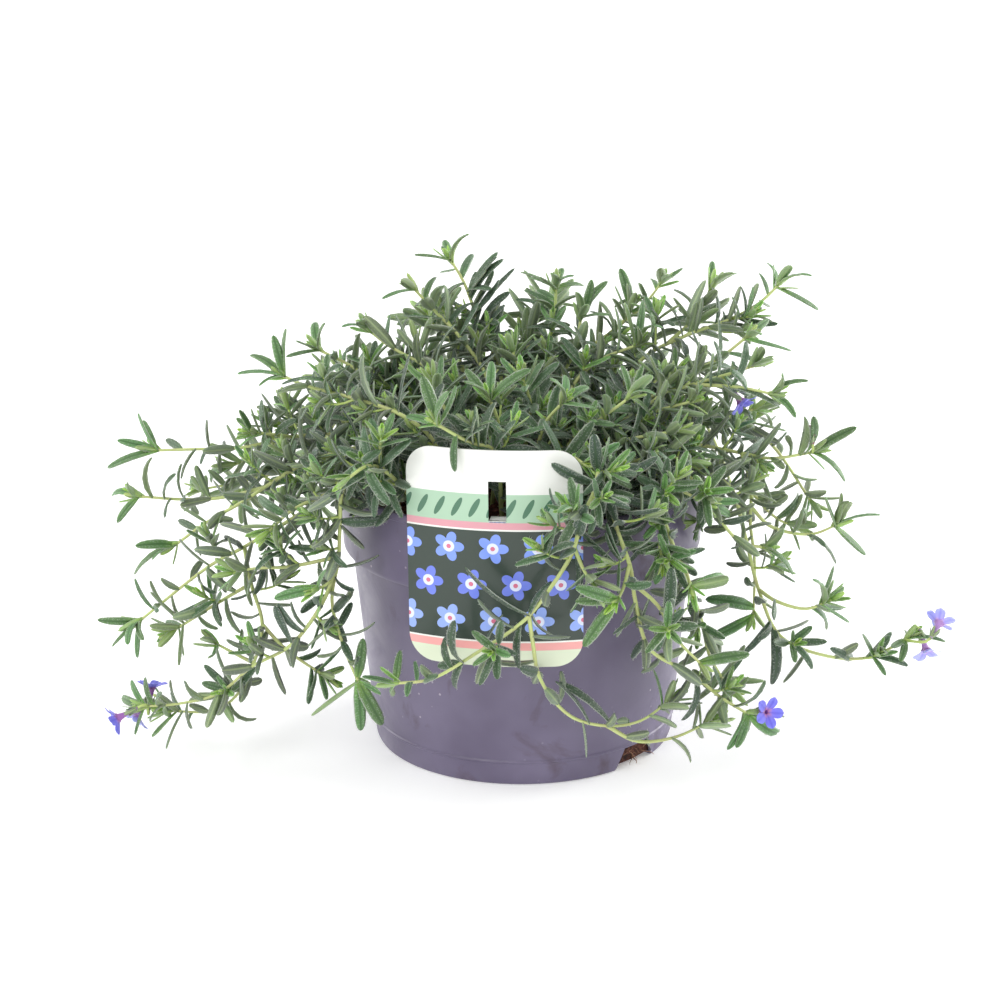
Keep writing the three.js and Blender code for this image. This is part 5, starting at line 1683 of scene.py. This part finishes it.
def blade_material(name, greens, pale_edge_and_highlight_colour, rib_colour, rib_share, foot_share):
    """Leaf skin: a green that follows the leaf's age, with hair feet, a midrib and pale edges with a painted
    highlight.
    """
    skin, shader = new_material(
        name, 0.52, 1.45, Subsurface_Weight=0.18, Subsurface_Scale=0.0012, Sheen_Weight=0.12
    )
    shader.inputs["Subsurface Radius"].default_value = (0.7, 1, 0.35)
    age = add_node(skin, "Attribute", {"attribute_name": "age"})
    tint = add_node(skin, "Attribute", {"attribute_name": "tint"})
    spot = add_node(skin, "TexCoord")
    blade = add_node(skin, "UVMap", {"uv_map": "blade"})
    axes = add_node(skin, "SeparateXYZ", links={"Vector": (blade, "UV")})
    younger = add_node(
        skin, "MapRange", {"From Max": 0.4, "To Min": -0.24, "To Max": 0}, {"Value": (axes, "Y")}
    )
    local_age = add_node(skin, "Math", {"operation": "ADD"}, {0: (age, "Fac"), 1: (younger, 0)})
    green = add_node(skin, "ValToRGB", {"stops": greens}, {"Fac": (local_age, 0)})
    mottle = add_node(skin, "TexNoise", {"Scale": 260, "Detail": 3}, {"Vector": (spot, "Object")})
    shade = add_node(skin, "Math", {"operation": "ADD"}, {0: (mottle, "Fac"), 1: (tint, "Fac")})
    value = add_node(skin, "MapRange", {"From Max": 2, "To Min": 0.66, "To Max": 1.34}, {"Value": (shade, 0)})
    hue = add_node(skin, "MapRange", {"To Min": 0.485, "To Max": 0.512}, {"Value": (tint, "Fac")})
    varied = add_node(
        skin, "HueSaturation", links={"Color": (green, "Color"), "Value": (value, 0), "Hue": (hue, 0)}
    )
    offset = add_node(skin, "Math", {"operation": "SUBTRACT", 1: 0.5}, {0: (axes, "X")})
    sideways = add_node(skin, "Math", {"operation": "ABSOLUTE"}, {0: (offset, 0)})
    hair_feet = add_node(skin, "TexVoronoi", {"Scale": 1 / HAIR_FOOT_PITCH}, {"Vector": (spot, "Object")})
    foot_size = add_node(
        skin, "MapRange", {"From Min": 0.5, "From Max": 0.18, "To Max": foot_share},
        {"Value": (hair_feet, "Distance")},
    )
    flank = add_node(
        skin, "MapRange", {"From Min": 0.05, "From Max": 0.22, "To Min": 0.1}, {"Value": (sideways, 0)}
    )
    foot_mask = add_node(skin, "Math", {"operation": "MULTIPLY"}, {0: (foot_size, 0), 1: (flank, 0)})
    footed = add_node(
        skin, "Mix", {"data_type": "RGBA", 7: linear(HAIR_FOOT_COLOUR)}, {0: (foot_mask, 0), 6: (varied, 0)}
    )
    rib = add_node(
        skin, "MapRange", {"From Min": 0.13, "From Max": 0.03, "To Max": rib_share}, {"Value": (sideways, 0)}
    )
    ribbed = add_node(
        skin, "Mix", {"data_type": "RGBA", 7: linear(rib_colour)}, {0: (rib, 0), 6: (footed, 2)}
    )
    # Pale edge band: the rolled-under edge and its pale hairs, with a painted highlight of the hairs catching
    # light laid over it
    edge = add_node(
        skin, "MapRange", {"From Min": 0.4, "From Max": 0.49, "To Max": 0.65}, {"Value": (sideways, 0)}
    )
    edge_and_highlight_mixed = add_node(
        skin, "Mix", {"data_type": "RGBA", 7: linear(pale_edge_and_highlight_colour)}, {0: (edge, 0), 6: (ribbed, 2)}
    )
    join_sockets(skin, edge_and_highlight_mixed, 2, shader, "Base Color")
    bump = add_node(skin, "Bump", {"Strength": 0.5, "Distance": 0.0002}, {"Height": (foot_size, 0)})
    join_sockets(skin, bump, 0, shader, "Normal")
    return skin


# The third colour of each is the pale edge band, partly the edge's own pale hairs and partly a painted
# highlight of them catching light
leaf_upper = blade_material(
    "Leaf skin, upper face, waxy and bristly", LEAF_GREENS, "#c9d0c4", "#35552f", 0.6, 0.34
)
leaf_under = blade_material(
    "Leaf skin, underside, felted grey", UNDER_GREENS, "#bfc6b8", "#aebf8e", 0.6, 0.22
)

stem_skin, stem_shader = new_material("Stem bark, green to straw, hairy", 0.55, 1.45)
age = add_node(stem_skin, "Attribute", {"attribute_name": "age"})
tint = add_node(stem_skin, "Attribute", {"attribute_name": "tint"})
spot = add_node(stem_skin, "TexCoord")
streaks = add_node(stem_skin, "TexNoise", {"Scale": 180, "Detail": 3}, {"Vector": (spot, "Object")})
moved_age = add_node(
    stem_skin, "Math", {"operation": "MULTIPLY_ADD", 1: 0.7, 2: -0.35}, {0: (streaks, "Fac")}
)
worn_age = add_node(stem_skin, "Math", {"operation": "ADD"}, {0: (moved_age, 0), 1: (age, "Fac")})
stem_colour = add_node(stem_skin, "ValToRGB", {"stops": STEM_GREENS}, {"Fac": (worn_age, 0)})
join_sockets(stem_skin, stem_colour, 0, stem_shader, "Base Color")
stem_bump = add_node(stem_skin, "Bump", {"Strength": 0.3, "Distance": 0.0003}, {"Height": (streaks, "Fac")})
join_sockets(stem_skin, stem_bump, 0, stem_shader, "Normal")

bristle, bristle_shader = new_material("Plant hair, stiff and pale", 0.6, 1.5)
bristle_shader.inputs["Base Color"].default_value = linear("#ccd2c2")

for index, (name, stem) in enumerate(STEMS.items()):
    plant = grow_plant(name, stem, np.random.default_rng(100 + index))
    for material in (leaf_upper, leaf_under, stem_skin, bristle):
        plant.data.materials.append(material)
    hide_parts("leafy_stem_" + name)
    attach(plant, "root")


# Blooms: thin violet-blue corollas. Each is a slender pink-flushed tube that opens into five
# rounded, overlapping lobes, held in a green calyx at the end of a stalk.
COROLLA_RADIUS = 0.0066
LOBE_WIDTH = 0.0044
LOBE_WIDEST = 0.6
PETAL_THICKNESS = 0.00022
LOBES = 5
LOBE_TILT = math.radians(9)
THROAT_RADIUS = 0.0016
BLOOM_SPIN = 0.5

tube_profile = [
    (0.0007, -COROLLA_TUBE), (0.0008, -0.7 * COROLLA_TUBE), (0.001, -0.35 * COROLLA_TUBE),
    (0.0013, -0.0014), (THROAT_RADIUS, -0.0003), (THROAT_RADIUS + 0.0006, 0.0003),
    (THROAT_RADIUS + 0.0002, 0.0002), (THROAT_RADIUS - 0.0003, -0.0006), (0.0009, -0.0016),
]
corolla = turned_ring_by_ring(20, tube_profile)
bpy.ops.object.mode_set(mode="OBJECT")
corolla.name = "corolla"
tube_uv = corolla.data.uv_layers.new(name="petal")
for loop in corolla.data.loops:
    tube_uv.data[loop.index].uv = (0.5, 0)

# A lobe is a grid shaped to a rounded, slightly cupped petal, doubled to its thickness
bpy.ops.object.select_all(action="DESELECT")
bpy.ops.mesh.primitive_grid_add(x_subdivisions=8, y_subdivisions=9, size=1)
lobe = bpy.context.object
lobe_uv = lobe.data.uv_layers.active
lobe_uv.name = "petal"
for vertex in lobe.data.vertices:
    across = 2 * vertex.co.x
    out = vertex.co.y + 0.5
    opening = 0.48 + 0.52 * math.sin(math.pi / 2 * min(1, out / LOBE_WIDEST))
    closing = max(0, (out - LOBE_WIDEST) / (1 - LOBE_WIDEST))
    half = LOBE_WIDTH / 2 * opening * math.sqrt(1 - 0.72 * closing ** 2)
    reach = 0.5 * THROAT_RADIUS
    reach += (COROLLA_RADIUS - reach) * out * (1 - 0.1 * across ** 2 * out ** 3)
    lift = 0.0002 + 0.0036 * out ** 0.85 - 0.0011 * out ** 3 + 0.0005 * across ** 2 * out
    ripple = 0.00022 * math.sin(3 * across + 2 * out) * out
    vertex.co = (half * across, reach, lift + ripple)
bpy.ops.object.mode_set(mode="EDIT")
bpy.ops.mesh.select_all(action="SELECT")
bpy.ops.mesh.normals_make_consistent(inside=False)
bpy.ops.object.mode_set(mode="OBJECT")
thicken = lobe.modifiers.new("petal", "SOLIDIFY")
thicken.thickness = PETAL_THICKNESS
thicken.offset = 0
bpy.ops.object.modifier_apply(modifier=thicken.name)
lobes = [lobe]
for index in range(1, LOBES):
    copy = lobe.copy()
    copy.data = lobe.data.copy()
    tilt = Matrix.Rotation(LOBE_TILT, 4, "Y")
    copy.data.transform(Matrix.Rotation(index * 2 * math.pi / LOBES, 4, "Z") @ tilt)
    bpy.context.scene.collection.objects.link(copy)
    lobes.append(copy)
lobe.data.transform(Matrix.Rotation(LOBE_TILT, 4, "Y"))
select_only(*lobes, corolla)
bpy.ops.object.join()
bpy.ops.object.shade_smooth_by_angle(angle=math.radians(50))

# Petal tissue is thin and lets light through. It is violet-blue with a darker middle vein, a pale
# eye and a pink tube, and fades to a pale lilac with age.
FRESH_PETAL = [(0, "#cf7f98"), (0.12, "#b28ccb"), (0.26, "#837cdf"), (0.65, "#7476e2"), (1, "#8587ea")]
FADED_PETAL = [(0, "#cf8ea6"), (0.12, "#c7a4d4"), (0.3, "#a5a2ea"), (0.65, "#a3a8ee"), (1, "#b1b8f2")]
FADED_BLOOMS = ("right_end", "right_under", "left_low")


def petal_material(name, stops, vein_colour):
    tissue, shader = new_material(
        name, 0.6, 1.4, Subsurface_Weight=0.35, Subsurface_Scale=0.001, Sheen_Weight=0.2
    )
    shader.inputs["Subsurface Radius"].default_value = (0.8, 0.7, 1)
    blade = add_node(tissue, "UVMap", {"uv_map": "petal"})
    axes = add_node(tissue, "SeparateXYZ", links={"Vector": (blade, "UV")})
    spot = add_node(tissue, "TexCoord")
    clouds = add_node(tissue, "TexNoise", {"Scale": 300, "Detail": 2}, {"Vector": (spot, "Object")})
    colour = add_node(tissue, "ValToRGB", {"stops": stops}, {"Fac": (axes, "Y")})
    offset = add_node(tissue, "Math", {"operation": "SUBTRACT", 1: 0.5}, {0: (axes, "X")})
    sideways = add_node(tissue, "Math", {"operation": "ABSOLUTE"}, {0: (offset, 0)})
    vein = add_node(
        tissue, "MapRange", {"From Min": 0.2, "From Max": 0.02, "To Max": 0.5}, {"Value": (sideways, 0)}
    )
    veined = add_node(
        tissue, "Mix", {"data_type": "RGBA", 7: linear(vein_colour)}, {0: (vein, 0), 6: (colour, 0)}
    )
    value = add_node(tissue, "MapRange", {"To Min": 0.88, "To Max": 1.15}, {"Value": (clouds, "Fac")})
    clouded = add_node(tissue, "HueSaturation", links={"Color": (veined, 2), "Value": (value, 0)})
    join_sockets(tissue, clouded, 0, shader, "Base Color")
    bump = add_node(tissue, "Bump", {"Strength": 0.3, "Distance": 0.0002}, {"Height": (vein, 0)})
    join_sockets(tissue, bump, 0, shader, "Normal")
    return tissue


fresh_petal = petal_material("Petal tissue, violet-blue", FRESH_PETAL, "#5350c8")
faded_petal = petal_material("Petal tissue, faded lilac", FADED_PETAL, "#8480dc")
corolla.data.materials.clear()

def bloom_place(bloom, spin=0):
    """Turns a bloom that stands at the origin to the way it faces and moves it to its place."""
    facing = Vector(bloom["facing"]).normalized()
    turn = Vector((0, 0, 1)).rotation_difference(facing).to_matrix().to_4x4()
    return Matrix.Translation(bloom["mouth"]) @ (turn @ Matrix.Rotation(spin, 4, "Z"))


for index, (name, bloom) in enumerate(BLOOMS.items()):
    if name == "withered":
        continue
    opened = corolla.copy()
    opened.data = corolla.data.copy()
    opened.name = "bloom_" + name + "_petals"
    opened.data.transform(bloom_place(bloom, BLOOM_SPIN * index))
    opened.data.materials.append(faded_petal if name in FADED_BLOOMS else fresh_petal)
    bpy.context.scene.collection.objects.link(opened)
    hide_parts("bloom_" + name)
    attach(opened, "root")
bpy.data.objects.remove(corolla)


# Withered bloom: a corolla that has dried maroon and rolled up into a crumpled spindle.
# Its twist is in radians a metre, and its folds are a share of its radius.
WITHERED_TWIST = 160
WITHERED_FOLD = 0.22
withered_profile = [
    (0.0008, -BUD_LENGTH), (0.0009, -0.0055), (0.0012, -0.004), (0.00145, -0.0025), (0.0013, -0.001),
    (0.0011, 0), (0.0007, 0.0009), (0.0003, 0.0015),
]
withered = turned_ring_by_ring(16, withered_profile)
bpy.ops.mesh.merge(type="CENTER")
bpy.ops.object.mode_set(mode="OBJECT")
withered.name = "withered_bloom"
for vertex in withered.data.vertices:
    x, y, z = vertex.co
    turn = WITHERED_TWIST * z
    fold = 1 + WITHERED_FOLD * math.cos(LOBES * (math.atan2(y, x) - turn))
    vertex.co = (x * fold, y * fold, z)
withered.data.transform(bloom_place(BLOOMS["withered"]))
dry_petal, dry_shader = new_material("Petal tissue, dried maroon", 0.75, 1.4)
spot = add_node(dry_petal, "TexCoord")
wrinkles = add_node(dry_petal, "TexNoise", {"Scale": 700, "Detail": 4}, {"Vector": (spot, "Object")})
dry_stops = [(0.3, "#5d1f3d"), (0.6, "#9a4068"), (0.8, "#b9708a")]
dry_colour = add_node(dry_petal, "ValToRGB", {"stops": dry_stops}, {"Fac": (wrinkles, "Fac")})
join_sockets(dry_petal, dry_colour, 0, dry_shader, "Base Color")
dry_bump = add_node(
    dry_petal, "Bump", {"Strength": 0.8, "Distance": 0.0003}, {"Height": (wrinkles, "Fac")}
)
join_sockets(dry_petal, dry_bump, 0, dry_shader, "Normal")
withered.data.materials.clear()
withered.data.materials.append(dry_petal)
bpy.ops.object.shade_smooth()
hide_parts("bloom_withered")
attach(withered, "root")
